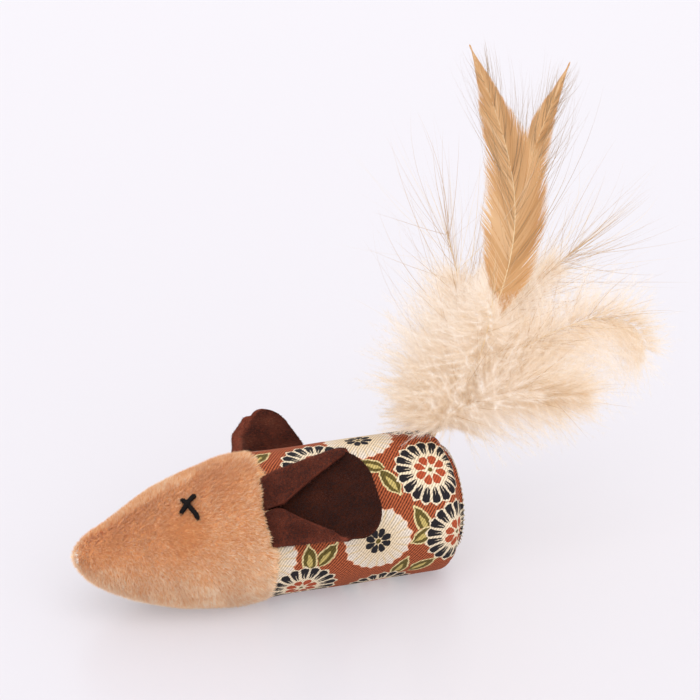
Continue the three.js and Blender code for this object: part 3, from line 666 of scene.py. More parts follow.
    gap, length = nearest(whiteFlowers, False)
    across = petals(gap, length, canvas["whitePetals"])
    scallop = addNode(tree, "Math", [across, -0.55, 9.7], operation="MULTIPLY_ADD")
    ragged = addNode(tree, "TexNoise", {"Vector": flat, "Scale": 0.35, "Detail": 1.0})
    rim = addNode(tree, "Math", [ragged, 1.6, scallop], operation="MULTIPLY_ADD")
    rim = addNode(tree, "Math", [rim, 0.8], operation="SUBTRACT")
    colour = inked(colour, canvas["salmon"], within(length, rim))
    fade = addNode(tree, "Math", [length, 0.14, -0.35], operation="MULTIPLY_ADD", use_clamp=True)
    pale = inked(toLinear(canvas["straw"]), canvas["white"], fade)
    crease = within(petals(gap, length, canvas["whitePetals"], 0.5), 0.22, 0.3)
    pale = inked(pale, canvas["straw"], crease, within(5.0, length, 2.5), 1.1)
    inner = addNode(tree, "Math", [rim, 0.25], operation="SUBTRACT")
    colour = inked(colour, pale, within(length, inner, 0.35))
    across = petals(gap, length, canvas["innerPetals"])
    colour = inked(colour, canvas["black"], within(across, shape(length, whitePetal)))
    colour = inked(colour, canvas["olive"], within(length, 0.7))

    gap, length = nearest(chrysanthemums, False)
    across = petals(gap, length, canvas["outerPetals"])
    rim = addNode(tree, "Math", [across, -0.75, 10.2], operation="MULTIPLY_ADD")
    colour = inked(colour, canvas["cream"], within(length, rim))
    colour = inked(colour, canvas["black"], within(across, shape(length, outerPetal)),
                   within(shape(length, petalSlit), across))
    across = petals(gap, length, canvas["innerPetals"])
    colour = inked(colour, canvas["red"], within(across, shape(length, redPetal)))
    colour = inked(colour, canvas["olive"], within(length, 0.6))

    # Every colour, ground and print alike, is painted darker in the weave's troughs: painted shade
    weaveShade = addNode(tree, "Math", [weave, 0.62, 0.56], operation="MULTIPLY_ADD")
    shaded = addNode(tree, "VectorMath", [colour, weaveShade], operation="SCALE")
    finishShader(tree, shader, shaded, weave, 0.55, canvas["threadDepth"])
    return material


shoulderX = rumpX - canvas["rumpDepth"]
turn = np.linspace(0, math.pi / 2, 6)[:, None]
hemLine = np.hstack([neckX + canvas["straightenedEdge"] * (1 - np.sin(turn[::-1])),
                     bodyRadius - canvas["straightenedEdge"] * (1 - np.cos(turn[::-1]))])
hemLine = np.vstack([[neckX, bodyRadius - canvas["hemDepth"]], hemLine])
share = np.linspace(0, 1, 30)[1:] ** 0.6
endRadius = bodyRadius * (1 - share ** canvas["rumpPower"]) ** (1 / canvas["rumpPower"])
rumpLine = np.stack([shoulderX + share * canvas["rumpDepth"], endRadius], axis=1)
hem = [(rumpX - inwards, radius) for inwards, radius in canvas["hemRound"]]
rumpLine = np.vstack([rumpLine[rumpLine[:, 1] > canvas["hemRadius"]], hem])
straight = np.stack([np.linspace(neckX + 2.5, shoulderX, 12), np.full(12, bodyRadius)], axis=1)
bodyLine = np.vstack([hemLine, straight, rumpLine])
hemLength = lineLength(bodyLine[:len(hemLine)])


def bodyPlace(around, along):
    x, radius, angle = turnedAt(bodyLine, around, along)
    points = roundAxis(x, radius, angle)
    neck = np.exp(-np.clip(x - neckX, 0, None) / 5)
    rump = np.exp(-np.clip(rumpX - x, 0, None) / 4) * np.clip((radius - canvas["openRadius"]) / 3, 0, 1)
    neckCreases = np.sin(canvas["neckCreases"] * angle + 2 * np.sin(2 * angle))
    puckers = np.sin(canvas["puckers"] * angle + 1.7 * np.sin(3 * angle))
    creases = canvas["neckCreaseDepth"] * neck * neckCreases + canvas["puckerDepth"] * rump * puckers
    slack = 0.3 * drift(points, 14, 51) + 0.12 * drift(points, 5, 52)
    return roundAxis(x, radius - canvas["inset"] + creases + slack * np.clip(radius - 13, 0, 1), angle)


bodyMesh = gridMesh("body_canvas", 150, 90, bodyPlace, lambda around, along: (
    along * lineLength(bodyLine) + neckX + canvas["straightenedEdge"] - hemLength,
    (around * 2 * math.pi - math.pi / 2) * bodyRadius))
body = addPiece(bodyMesh, [printedCanvas("printed cotton canvas")], "mouse", ["body_tube"],
                wall=canvas["wall"])

discRadius = (discHigh[1] - discLow[1]) / 2
discMiddle = (discHigh[2] + discLow[2]) / 2


def discPlace(around, along):
    angle = around * 2 * math.pi
    radius = along * (discRadius - 0.1)
    y, z = radius * np.cos(angle), radius * np.sin(angle)
    bulge = canvas["discBulge"] * np.sqrt(np.clip(1 - along ** 2, 0, 1)) - canvas["discInset"]
    crease = canvas["discFoldDepth"] * along ** 6 * np.sin(canvas["discFolds"] * angle)
    points = np.stack([rumpX + bulge + crease, y, discMiddle + z], axis=-1)
    points[:, 0] += 0.15 * drift(points, 9, 61)
    return points


discMesh = gridMesh("rump_canvas", 72, 16, discPlace, lambda around, along: (
    along * discRadius * np.cos(around * 2 * math.pi), along * discRadius * np.sin(around * 2 * math.pi)))
discCanvas = printedCanvas("printed cotton canvas, rump", canvas["discShift"])
disc = addPiece(discMesh, [discCanvas], "mouse", ["rump_disc"], wall=canvas["wall"])
print("printed body made")


# Sewing thread: cream polyester, two plies twisted. The neck is closed with ladder stitches sunk in its
# seam, and the rump's disc with whip stitches that show as short slanting strokes
sewing = {
    "thread": 0.17,
    "colour": "#e4d8c0",
    "plyPitch": 0.4,
    "neckStitches": 84,
    "rumpStitches": 60,
    "neckDepth": 1.15,
}


# Threads and quills: round tubes along lines, whose fourth column narrows them
def tubes(name, lines, radius, sides=3):
    curve = bpy.data.curves.new(name, "CURVE")
    curve.dimensions = "3D"
    curve.bevel_depth = radius * mm
    curve.bevel_resolution = sides
    curve.use_fill_caps = True
    for line in lines:
        spline = curve.splines.new("POLY")
        spline.points.add(len(line) - 1)
        spline.points.foreach_set("co", np.hstack([line[:, :3] * mm, np.ones((len(line), 1))]).ravel())
        if line.shape[1] > 3:
            spline.points.foreach_set("radius", line[:, 3])
    holder = bpy.data.objects.new(name, curve)
    bpy.context.scene.collection.objects.link(holder)
    mesh = bpy.data.meshes.new_from_object(holder.evaluated_get(bpy.context.evaluated_depsgraph_get()))
    mesh.name = name
    bpy.data.objects.remove(holder)
    bpy.data.curves.remove(curve)
    mesh.polygons.foreach_set("use_smooth", [True] * len(mesh.polygons))
    return mesh


# The strands that are twisted about a line, one turn in pitch millimetres
def twisted(line, strands, radius, pitch):
    reach = reachAlong(line)
    way = unit(np.gradient(line, axis=0))
    side = unit(np.cross(way, np.array([0.13, 0.31, 0.94])))
    other = np.cross(way, side)
    out = []
    for strand in range(strands):
        angle = (2 * math.pi * (reach / pitch + strand / strands))[:, None]
        out.append(line + radius * (side * np.cos(angle) + other * np.sin(angle)))
    return out


# Twisted thread: its plies give the eye fine slanting lines, with painted shade darkening the grooves
# between them
def plied(name, hexColour, pitch):
    material, tree, shader = newMaterial(name, hexColour, 0.7)
    place = addNode(tree, "TexCoord").outputs["Object"]
    plies = addNode(tree, "TexWave", {"Vector": place, "Scale": 0.32 / (pitch * mm), "Distortion": 1.5})
    plies = plies.outputs["Fac"]
    tone = addNode(tree, "ValToRGB", [plies], [(0, hexColour), (1, hexColour)])
    # The darker end of the ramp is painted shade in the grooves between the plies
    tone.color_ramp.elements[0].color = [channel * 0.62 for channel in toLinear(hexColour)[:3]] + [1]
    finishShader(tree, shader, tone, plies, 0.5, 0.05)
    return material


def stitchesRound(count, start, middle, end):  # each point is x, radius and share of a stitch round the seam
    lines = []
    for stitch in range(count):
        points = smoothLine([start, middle, end], 3)
        angle = (stitch + points[:, 2]) * 2 * math.pi / count
        lines.append(roundAxis(points[:, 0], points[:, 1], angle, lowest=sewing["thread"], soften=0.2))
    return lines


sewingThread = plied("sewing thread, cream polyester", sewing["colour"], sewing["plyPitch"])
deep = neckRadius - sewing["neckDepth"]
seams = {  # how many stitches, and where each starts, stands highest and ends
    "neck": (sewing["neckStitches"], (neckX - 0.55, deep, 0), (neckX + 0.1, deep - 0.1, 0.5),
             (neckX + 0.75, deep, 0.8)),
    "rump": (sewing["rumpStitches"], (rumpX - 1.1, 12.5, 0), (rumpX - 0.05, 13.55, 0.5),
             (rumpX - 0.3, 14.35, 1.0)),
}
for seam, stitch in seams.items():
    mesh = tubes(f"{seam}_stitches", stitchesRound(*stitch), sewing["thread"], 1)
    addPiece(mesh, [sewingThread], "mouse", [f"{seam}_thread"])
print("seams stitched")


# Suede: cowhide split about 1.1 mm thick with a short nap. It gives the eye a dark brown that drinks the
# light, with redder, paler lines where the hide is bent or cut
suede = {
    "thickness": 1.1,
    "length": 27.5,
    "width": 26.2,
    "rootWidth": 17.7,
    "widestShare": 0.72,
    "tipPower": 2.2,
    "easeShare": 0.35,
    "endShare": 0.985,
    "setback": 0.9,
    "curlPower": 4,
    "bendRadius": 0.92,
    "hide": ["#240d08", "#451f11"],
    "turnedHide": ["#56261b", "#8a4634"],
    "tones": ["#260e09", "#3a1810", "#57291b", "#7a4430"],
    "flapTone": 0.42,
    "ridgeTone": 0.38,
    "nap": 0.6,
    "napWidth": 0.08,
    "hairs": 42000,
    "tuckShare": 0.065,
    "tuckDepth": 2.8,
    "sinkShare": 0.09,
    "rootGap": 0.3,
    "blendShare": 0.2,
    "foldedIn": 1.35,
}
# How each ear hangs in degrees, where the cut edges of its lower and upper flaps run, as millimetres from
# the middle line at the root and the slope of the edge, and how much paler its hide is
ears = {
    "left": {"facing": 52, "lean": 17, "roll": 22, "sweep": 0,
             "edges": ((-1.0, 0.79), (-1.5, 0.578)), "paler": 0.0},
    "right": {"facing": -78, "lean": 40, "roll": -6, "sweep": 36,
              "edges": ((-1.0, 0.75), (-1.0, 0.75)), "paler": 0.62},
}


def suedeHide():
    material, tree, shader = newMaterial("suede, split side", suede["hide"][1], 0.95, 0.1)
    place = addNode(tree, "TexCoord").outputs["Object"]
    broad = addNode(tree, "TexNoise", {"Vector": place, "Scale": 1 / (4 * mm), "Detail": 3.0})
    fine = addNode(tree, "TexNoise", {"Vector": place, "Scale": 1 / (0.35 * mm), "Detail": 2.0})
    mixed = addNode(tree, "Mix", [0.62, broad, fine])
    plain, paler = (addNode(tree, "ValToRGB", [mixed], zip((0.35, 0.68), suede[key]))
                    for key in ("hide", "turnedHide"))
    turned = addNode(tree, "Attribute", attribute_name="turned").outputs["Fac"]
    tone = addNode(tree, "Mix", [turned, plain, paler], data_type="RGBA")
    finishShader(tree, shader, tone, mixed, 0.8, 0.2)
    return material


rootRadius = bodyRadius + suede["rootGap"] + suede["thickness"] / 2
earFlatWidth = suede["width"] * suede["foldedIn"]


def earHalfWidth(share):
    widest, full, root = suede["widestShare"], suede["width"], suede["rootWidth"]
    rising = (root + (full - root) * np.clip(share / widest, 0, 1)) / 2
    falling = np.clip(1 - np.clip((share - widest) / (1 - widest), 0, 1) ** suede["tipPower"], 0, 1)
    return np.where(share < widest, rising, full / 2 * falling ** (1 / suede["tipPower"]))


# How far the root has gone under the plush, from 0 where it is clear of it to 1 at its cut end
def sunk(share):
    return np.clip((suede["sinkShare"] - share) / (suede["sinkShare"] + suede["tuckShare"]), 0, 1)


# The middle of the hide, side millimetres from the ear's own middle line
def earPoint(ear, side, share):
    lean, sweep, facing = (math.radians(ear[k]) for k in ("lean", "sweep", "facing"))
    roll = np.radians(ear["roll"]) * np.sin(np.clip(share, 0, 1) * math.pi / 2)
    reach = share * suede["length"]
    x = reach * math.cos(lean) + side * math.sin(sweep) * np.clip(share / suede["easeShare"], 0, 1)
    y = side * np.cos(roll)
    z = reach * math.sin(lean) - side * np.sin(roll)
    curl = np.sqrt(np.clip(rootRadius ** 2 - side ** 2, 0, None)) - rootRadius
    z = z + rootRadius + curl * np.clip(1 - share, 0, 1) ** suede["curlPower"]
    z = z - suede["tuckDepth"] * sunk(share) ** 2
    return np.stack([x + neckX + suede["setback"], y * math.cos(facing) - z * math.sin(facing),
                     axisHeight + y * math.sin(facing) + z * math.cos(facing)], axis=-1)


def earFacing(ear, side, share):
    across = earPoint(ear, side + 0.05, share) - earPoint(ear, side - 0.05, share)
    along = earPoint(ear, side, share + 0.002) - earPoint(ear, side, share - 0.002)
    return unit(np.cross(along, across))


# Where the fold of the hide starts, and how much of it is turned over, on the side that sign says
def earFold(ear, sign, share):
    fromRoot = share * suede["length"]
    (lower, lowerSlope), (upper, upperSlope) = ear["edges"]
    edge = np.where(sign < 0, lower + lowerSlope * fromRoot, upper + upperSlope * fromRoot)
    flap = np.clip(earHalfWidth(share) - np.clip(edge, 0.2, None), 0, None)
    curl = np.clip(flap / (2 * suede["bendRadius"]), 0, 1)
    start = earHalfWidth(share) - suede["bendRadius"] * curl
    whole = start + math.pi * suede["bendRadius"] * curl + np.clip(flap - suede["bendRadius"], 0, None)
    return start, whole


# How much paler the hide is at places on the flat hide, most of all along the ridge where it is bent
def bentTone(ear, flat):
    across, along = flat[:, 0] / earFlatWidth, flat[:, 1] / suede["length"]
    start, whole = earFold(ear, np.sign(across - 0.5), earShare(along))
    past = np.abs(2 * across - 1) * whole - start
    ridge = np.exp(-((past - suede["bendRadius"] * math.pi / 2) / 1.1) ** 2)
    return suede["flapTone"] * np.clip(past, 0, 1) + suede["ridgeTone"] * ridge + ear["paler"]


def earShare(along):
    return along * (suede["endShare"] + suede["tuckShare"]) - suede["tuckShare"]


def earPlace(ear):
    def place(across, along):
        share = earShare(along)
        sign = np.sign(across - 0.5)
        bend = suede["bendRadius"]
        start, whole = earFold(ear, sign, share)
        spot = np.abs(2 * across - 1) * whole
        angle = np.clip((spot - start) / bend, 0, math.pi)
        turned = np.clip(spot - start - math.pi * bend, 0, None)
        side = sign * np.where(spot > start, start + bend * np.sin(angle) - turned, spot)
        rise = (bend * (1 - np.cos(angle)) + 0.15 * turned ** 1.3) * (1 - 0.75 * sunk(share))
        facing = earFacing(ear, side, share)
        points = earPoint(ear, side, share)
        slack = 0.3 * drift(points, 9, 71) * np.clip(share * 3, 0, 1)
        return points + facing * (rise + slack)[:, None]
    return place


# The nap: short hairs on both sides of the hide, with a tone that follows the places where it is bent
def growNap(mesh, name, ear):
    dice = np.random.default_rng(77)
    place, facing, flat = strewn(mesh, suede["hairs"], dice)
    way = unit(np.array([1.0, 0, -0.4]) + dice.normal(0, 0.5, place.shape))
    length = suede["nap"] * dice.uniform(0.5, 1.2, (len(place), 1))
    flip = np.where(dice.random((len(place), 1)) < 0.5, 1, -1)
    root = place + facing * flip * suede["thickness"] * 0.45
    tip = root + length * unit(facing * flip * 0.75 + way * 0.6)
    lines = drift(place, 3, 78) + dice.normal(0, 0.5, len(place))
    tone = np.clip(np.round(0.5 + 0.75 * lines + 1.7 * bentTone(ear, flat)), 0, 3).astype(int)
    sideways = np.repeat(unit(np.cross(facing, way))[:, None], 2, axis=1)
    return hairMesh(name, [(np.stack([root, tip], axis=1), suede["napWidth"], sideways, tone)])


hide = suedeHide()
napTones = [newMaterial(f"suede nap {number + 1}", tone, 0.95)[0]
            for number, tone in enumerate(suede["tones"])]
for side, ear in ears.items():
    mesh = gridMesh(f"{side}_ear_suede", 90, 56, earPlace(ear),
                    lambda across, along: (across * earFlatWidth, along * suede["length"]))
    turned = np.zeros(len(mesh.vertices), np.float32)
    flat = readOff(mesh.uv_layers["cloth"].data, "uv", 2) / mm
    turned[readOff(mesh.loops, "vertex_index", 1, np.int32)[:, 0]] = np.clip(bentTone(ear, flat), 0, 1)
    mesh.attributes.new("turned", "FLOAT", "POINT").data.foreach_set("value", turned)
    piece = addPiece(mesh, [hide], None, [f"ear_{side}"], wall=suede["thickness"], offset=0)
    nap = addPiece(growNap(mesh, f"{side}_ear_nap", ear), napTones, None)
    for soft in (piece, nap):
        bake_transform(soft)
print("suede ears made")


# Eyes: two crossed stitches each of stranded embroidery cotton, dyed black and pulled down into the pile,
# a black with hardly a gleam. A stitch runs from one place to another, each a distance from the nose and an
# angle up the flank
eyes = {
    "strandRadius": 0.37,
    "strands": 3,
    "twist": 2.4,
    "stitches": [((30.3, 69.5), (33.4, 45)), ((34.0, 68.5), (29.2, 55.5))],
    "black": "#120e0c",
    "pulledIn": {"left": 0, "right": 0.4},
}


def headSurface(fromNose, angle, lift):
    x = noseX + fromNose
    radius = np.interp(x, headLine[:, 0], headLine[:, 1])
    return roundAxis(x, radius + lift, np.radians(angle))


blackCotton = newMaterial("stranded embroidery cotton, black", eyes["black"], 0.8, 0.15)[0]
share = np.linspace(0, 1, 26)
for side, pulledIn in eyes["pulledIn"].items():
    lines = []
    for layer, (start, end) in enumerate(eyes["stitches"]):
        fromNose = start[0] + (end[0] - start[0]) * share
        angle = start[1] + (end[1] - start[1]) * share
        if side == "right":
            angle = 180 + 2 * crownTurn - angle
        crossing = 0.5 * layer * np.exp(-((share - 0.5) / 0.2) ** 2)
        lift = 0.25 - pulledIn + crossing - 2.2 * np.abs(2 * share - 1) ** 8
        surface = headSurface(fromNose, angle, lift)
        lines += twisted(surface, eyes["strands"], eyes["strandRadius"] * 0.95, eyes["twist"])
    mesh = tubes(f"{side}_eye_stitches", lines, eyes["strandRadius"])
    addPiece(mesh, [blackCotton], "mouse", [f"eye_{side}"])
print("eyes made")


# Feathers: they rise from one binding, at tailAngle, in layers
feathers = {
    "tailAngle": 60,
    "setIn": 2,
    "bindingTop": 5,
    "tipHandle": 0.42,
    "tallest": 111,
    "spreadShare": 0.13,
    "layerPitch": 1.15,
    "tipwardPower": 0.75,
    "fullnessPower": 1.3,
    "quill": 0.36,
    "overBody": 1.1,
    "inFrontBy": 1.2,
    "buriedShare": 0.2,
    "reach": 10.5,
    "frontFade": 5,
    "barbPitch": 0.1,
    "vaneBarbWidth": 0.2,
    "vaneWisps": 150,
    "wispWidth": 0.07,
    "tan": [("shaded", "#d3a570"), ("tan", "#ddb380"), ("light", "#e8c699"), ("wisp", "#a98e6c")],
    "down": [("tan", "#e3c8a3"), ("warm", "#ebdabf"), ("cream", "#f0e3d1"), ("white", "#f5ede3"),
             ("wisp", "#c0a079")],
    "horn": "#efd7ac",
}
# The tip's reach, rise and angle, the half widths up and down, where the vane starts and how far the root
# bows out. All but the angle and the bow are shares of the tallest rise. Layers run from near to far
featherShapes = {
    "plume_low": (0.387, 0.117, -8, 0.117, 0.135, 0.072, 0.3),
    "plume_left": (0.09, 0.541, 98, 0.225, 0.126, 0.081, 0.3),
    "plume_droop": (0.523, 0.2, -74, 0.045, 0.135, 0.126, 0.3),
    "feather_front": (0.063, 1, 114, 0.072, 0.068, 0.306, 0.48),
    "plume_up_left": (0, 0.64, 114, 0.153, 0.135, 0.108, 0.3),
    "feather_back": (0.423, 0.847, 60, 0.054, 0.045, 0.414, 0.48),
    "plume_up_right": (0.622, 0.423, 26, 0.162, 0.135, 0.126, 0.3),
    "plume_back": (0.45, 0.09, -18, 0.135, 0.126, 0.108, 0.3),
}
tailAngle = math.radians(feathers["tailAngle"])
tailWay = np.array([math.cos(tailAngle), math.sin(tailAngle)])


# A quill's line in its own plane, from inside the rump to the tip
def featherLine(name):
    tip = np.array(featherShapes[name][:2]) * feathers["tallest"]
    tipAngle = math.radians(featherShapes[name][2])
    start = tailWay * feathers["bindingTop"]
    size = np.linalg.norm(tip)
    first = start + tailWay * size * featherShapes[name][6]
    second = tip - np.array([math.cos(tipAngle), math.sin(tipAngle)]) * size * feathers["tipHandle"]
    t = np.linspace(0, 1, 60)[:, None]
    bow = (1 - t) ** 3 * start + 3 * (1 - t) ** 2 * t * first + 3 * (1 - t) * t ** 2 * second + t ** 3 * tip
    return np.vstack([[-tailWay * feathers["setIn"]], bow])


# Where places in a feather's own plane lie. The planes fan out from the middle of the tail
def inPlace(name, flat, depth=0.0):
    layer = list(featherShapes).index(name) - (len(featherShapes) - 1) / 2
    far = np.clip(np.linalg.norm(flat, axis=-1) - feathers["bindingTop"], 0, None)
    y = layer * (feathers["layerPitch"] + feathers["spreadShare"] * far) + depth
    return np.stack([flat[..., 0], y, flat[..., 1]], axis=-1) + tailRoot


# Where a feather's middle line and its side vector lie, at shares of its vane
def flatSpine(name, share):
    line = featherLine(name)
    total = lineLength(line)
    bare = featherShapes[name][5] * feathers["tallest"] + feathers["setIn"]
    whole = (bare + (total - bare) * share) / total
    flat = alongLine(line, whole)
    before, after = (alongLine(line, np.clip(whole + step, 0, 1)) for step in (-0.004, 0.004))
    ahead = unit(after - before)
    return flat, np.stack([-ahead[..., 1], ahead[..., 0]], axis=-1), ahead, total - bare


# How wide a vane is, up or down from its quill
def vaneWidth(name, share, up):
    size = featherShapes[name][3 if up else 4] * feathers["tallest"]
    bell = np.sin(math.pi * np.clip(share, 0, 1) ** feathers["tipwardPower"])
    wavy = 1.22 + 0.1 * np.sin(14 * share + 2.2 * up) + 0.04 * np.sin(37 * share + 4 * up)
    return size * wavy * np.clip(bell, 0, 1) ** feathers["fullnessPower"]


# Keratin barbs: light passes through them and bounces among thousands. through is the share that passes, and
# paintedGlow is an emission in their own colour, painted light that stands for the light that many bounces
# bring. They give the eye soft edges that glow
def featherMaterial(name, hexColour, through, paintedGlow):
    material, tree, shader = newMaterial(name, hexColour, 0.65, 0.3, **{
        "Emission Color": toLinear(hexColour), "Emission Strength": paintedGlow})
    passing = addNode(tree, "BsdfTranslucent", {"Color": toLinear(hexColour)})
    blended = addNode(tree, "MixShader", [through, shader.outputs["BSDF"], passing.outputs["BSDF"]])
    output = next(n for n in tree.nodes if n.type == "OUTPUT_MATERIAL")
    tree.links.new(blended.outputs["Shader"], output.inputs["Surface"])
    return material


# Both the hackle and the down glow a little in their own colour: painted light
tanTones = [featherMaterial(f"hackle feather, {word}", tone, 0.3, 0.1) for word, tone in feathers["tan"]]
downTones = [featherMaterial(f"marabou down, {word}", tone, 0.45, 0.17) for word, tone in feathers["down"]]
quillHorn = newMaterial("feather quill, horn", feathers["horn"], 0.45)[0]


# The same in the room: places, the way ahead, the side and the facing of the plane, and the vane's length
def spine(name, share):
    flat, side, _, total = flatSpine(name, share)
    ahead = unit(inPlace(name, flatSpine(name, np.clip(share + 0.01, 0, 1))[0])
                 - inPlace(name, flatSpine(name, np.clip(share - 0.01, 0, 1))[0]))
    side = np.stack([side[..., 0], 0 * share, side[..., 1]], axis=-1)
    return inPlace(name, flat), ahead, side, np.cross(ahead, side), total


# Barbs that leave the quill at their own angle and bend as they go, up or down the feather's own plane,
# rolled about the quill by roll
def barbPaths(name, share, up, length, angle, bend, roll, dice, steps=8):
    base, ahead, side, facing, _ = spine(name, share)
    roll = roll[:, None]
    outward = side * np.where(up, 1, -1)[:, None] * np.cos(roll) + facing * np.sin(roll)
    q = (np.arange(steps - 1) + 0.5) / (steps - 1)
    turned = np.radians(angle[:, None] + bend[:, None] * q)
    way = np.cos(turned)[..., None] * ahead[:, None] + np.sin(turned)[..., None] * outward[:, None]
    way = way + facing[:, None] * (dice.normal(0, 0.12, (len(share), 1)) * np.sin(q * 5))[..., None]
    walk = np.cumsum(way * (length / (steps - 1))[:, None, None], axis=1)
    return base[:, None] + np.concatenate([0 * walk[:, :1], walk], axis=1)


# Barbules: short hairs thinner than the barb that carries them
def barbules(paths, stations, dice, toneOf):
    barbs, steps = paths.shape[:2]
    t = 0.04 + 0.95 * dice.random((barbs, stations)) ** 0.75
    step = t * (steps - 1)
    low = np.clip(step.astype(int), 0, steps - 2)
    part = (step - low)[..., None]
    rows = np.arange(barbs)[:, None]
    base = paths[rows, low] * (1 - part) + paths[rows, low + 1] * part
    way = unit(paths[rows, low + 1] - paths[rows, low])
    out = unit(np.cross(way, dice.normal(0, 1, way.shape)))
    fine = down["barbuleLength"] * dice.uniform(0.5, 1.25, (barbs, stations, 1)) * (1.1 - 0.6 * t[..., None])
    tips = base + fine * unit(down["barbuleSpread"] * out + way)
    hairs = np.stack([base, tips], axis=2).reshape(-1, 2, 3)
    flatWay = np.repeat(unit(np.cross(out, way)).reshape(-1, 1, 3), 2, axis=1)
    return hairs, flatWay, toneOf(t).ravel()


# Down rests on the body where it would go into it
def clearOfBody(paths):
    x, y, z = paths[..., 0], paths[..., 1], paths[..., 2] - axisHeight
    far = np.maximum(np.hypot(y, z), 1e-6)
    outline = bodyLine[:-2]
    skin = np.interp(x, outline[:, 0], outline[:, 1]) + feathers["overBody"]
    push = np.where((x < rumpX + 0.3) & (far < skin), skin / far, 1)
    return np.stack([x, y * push, axisHeight + z * push], axis=-1)


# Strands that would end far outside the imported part's own box are shorter
def withinReach(paths):
    lowest, highest = (np.array(corner) / mm for corner in cadBox)
    root = paths[:, :1]
    step = paths - root
    room = np.where(step > 0, highest + feathers["reach"] - root, root - lowest + feathers["reach"])
    share = (room / np.maximum(np.abs(step), 1e-3)).min(axis=(1, 2), keepdims=True)
    return root + step * np.clip(share, 0, 1)


# Down that would cross the front feather's vane passes behind it
def behindVane(paths):
    share = np.linspace(feathers["buriedShare"], 1, 40)
    middle, _, _, _, _ = spine("feather_front", share)
    half = (vaneWidth("feather_front", share, True) + vaneWidth("feather_front", share, False)) / 2
    flat = paths[..., [0, 2]]
    gap = np.linalg.norm(flat[..., None, :] - middle[:, [0, 2]], axis=-1) - half
    nearest = gap.argmin(axis=-1)
    gap = np.take_along_axis(gap, nearest[..., None], axis=-1)[..., 0]
    weight = np.clip(1 - gap / feathers["frontFade"], 0, 1) ** 2
    behind = middle[nearest, 1] + feathers["inFrontBy"]
    moved = paths.copy()
    moved[..., 1] += weight * np.clip(behind - paths[..., 1], 0, None)
    return moved


# A vane's barbs, one beside the other on both sides of the quill, with splits where they part
def growVane(name, seed):
    dice = np.random.default_rng(seed)
    sets = []
    length = flatSpine(name, np.zeros(1))[3]
    count = int(length / feathers["barbPitch"])
    q = np.linspace(0, 1, 9)
    for up in (True, False):
        g = (np.arange(count) + dice.uniform(-0.3, 0.3, count)) / count
        width = np.maximum(vaneWidth(name, g, up), 0.5)
        split = 0.03 * np.sin(g * 31 + 2 * up) + 0.02 * np.sin(g * 77)
        sweep = 2.1 * width / length * (1 + split)
        spot = g[:, None] + sweep[:, None] * q ** 1.15
        flat, side, ahead, _ = flatSpine(name, np.clip(spot, 0, 1))
        flat = flat + ahead * (np.clip(spot - 1, 0, 1) * length * 0.4)[..., None]
        reach = vaneWidth(name, np.clip(g + sweep, 0, 1), up)[:, None] * q
        reach = reach * dice.uniform(0.92, 1.05, (count, 1))
        flat = flat + side * (reach if up else -reach)[..., None]
        cupped = -1.1 * (reach / 8) ** 2 + dice.normal(0, 0.04, (count, 1))
        paths = inPlace(name, flat, cupped + 0.15 * (np.arange(count) % 2)[:, None])
        across = np.cross(np.gradient(paths, axis=1), np.array([0, 1.0, 0]))
        shade = 0.35 * np.sin(g * 19 + 3 * up) + 0.25 * np.sin(g * 53) + dice.normal(0, 0.3, count)
        shade = shade - (0 if up else 0.35) + 0.3 * up * (g < 0.5)
        tone = np.clip(np.round(1.1 + shade), 0, 2).astype(int)
        sets.append((paths, feathers["vaneBarbWidth"], across, tone))
    return sets


# How much of a plume is downy, its barbs' length up and down its plane, their angle at the root and the tip,
# bend and roll, how tan it is, how full of barbules, and its wisps and their length
plumes = {
    "plume_low": (0.85, 27, 20, 78, 36, -6, 44, -0.15, 0.9, 110, 26),
    "plume_left": (0.74, 25, 16, 104, 62, -20, 38, 0.1, 1.0, 60, 28),
    "plume_droop": (1.0, 20, 31, 60, 46, 6, 26, 0.3, 0.8, 160, 27),
    "plume_up_left": (0.5, 25, 18, 92, 40, -18, 44, 0.15, 0.95, 190, 50),
    "plume_up_right": (0.6, 21, 22, 80, 38, -10, 48, 0.15, 0.85, 260, 52),
    "plume_back": (0.8, 19, 24, 84, 36, -10, 42, 0.1, 0.95, 70, 26),
}
down = {
    "barbs": 1350,
    "barbules": 116,
    "barbuleLength": 3.1,
    "barbuleSpread": 0.8,
    "barbWidth": 0.036,
    "barbuleWidth": 0.023,
    "tuftBarbs": 330,
    "tuftLength": 16,
    "tuftClimb": 20,
    "tuftTurn": 0.7,
    "flatter": 0.4,
    "mostPushed": 1.3,
    "awayTurn": {"plume_left": -26},
    "tufted": ["plume_low", "plume_left", "plume_back"],
}


# Barbules are palest at the ends of their barbs
def downTone(zone, t, dice):
    score = 1.55 + 1.7 * t ** 0.7 + 0.6 * zone[:, None] + dice.normal(0, 0.5, t.shape)
    return np.clip(np.round(score), 0, 3).astype(int)


# Down that stands out all ways from the root of the tail, most of it over the body
def tuftPaths(name, start, dice, steps=8):
    count = len(start)
    heading = math.pi + dice.normal(0, down["tuftTurn"], count)
    climb = np.radians(dice.normal(down["tuftClimb"], 17, count))
    aside = (1 - down["flatter"]) * np.sin(heading) * np.cos(climb)
    way = np.stack([np.cos(heading) * np.cos(climb), aside, np.sin(climb)], axis=-1)
    t = np.linspace(0, 1, steps)[None, :, None]
    length = (down["tuftLength"] * dice.uniform(0.35, 1.15, count))[:, None, None]
    bow = unit(dice.normal(0, 1, (count, 3)))
    return spine(name, start)[0][:, None] + length * (t * way[:, None] + 0.15 * t ** 2 * bow[:, None])


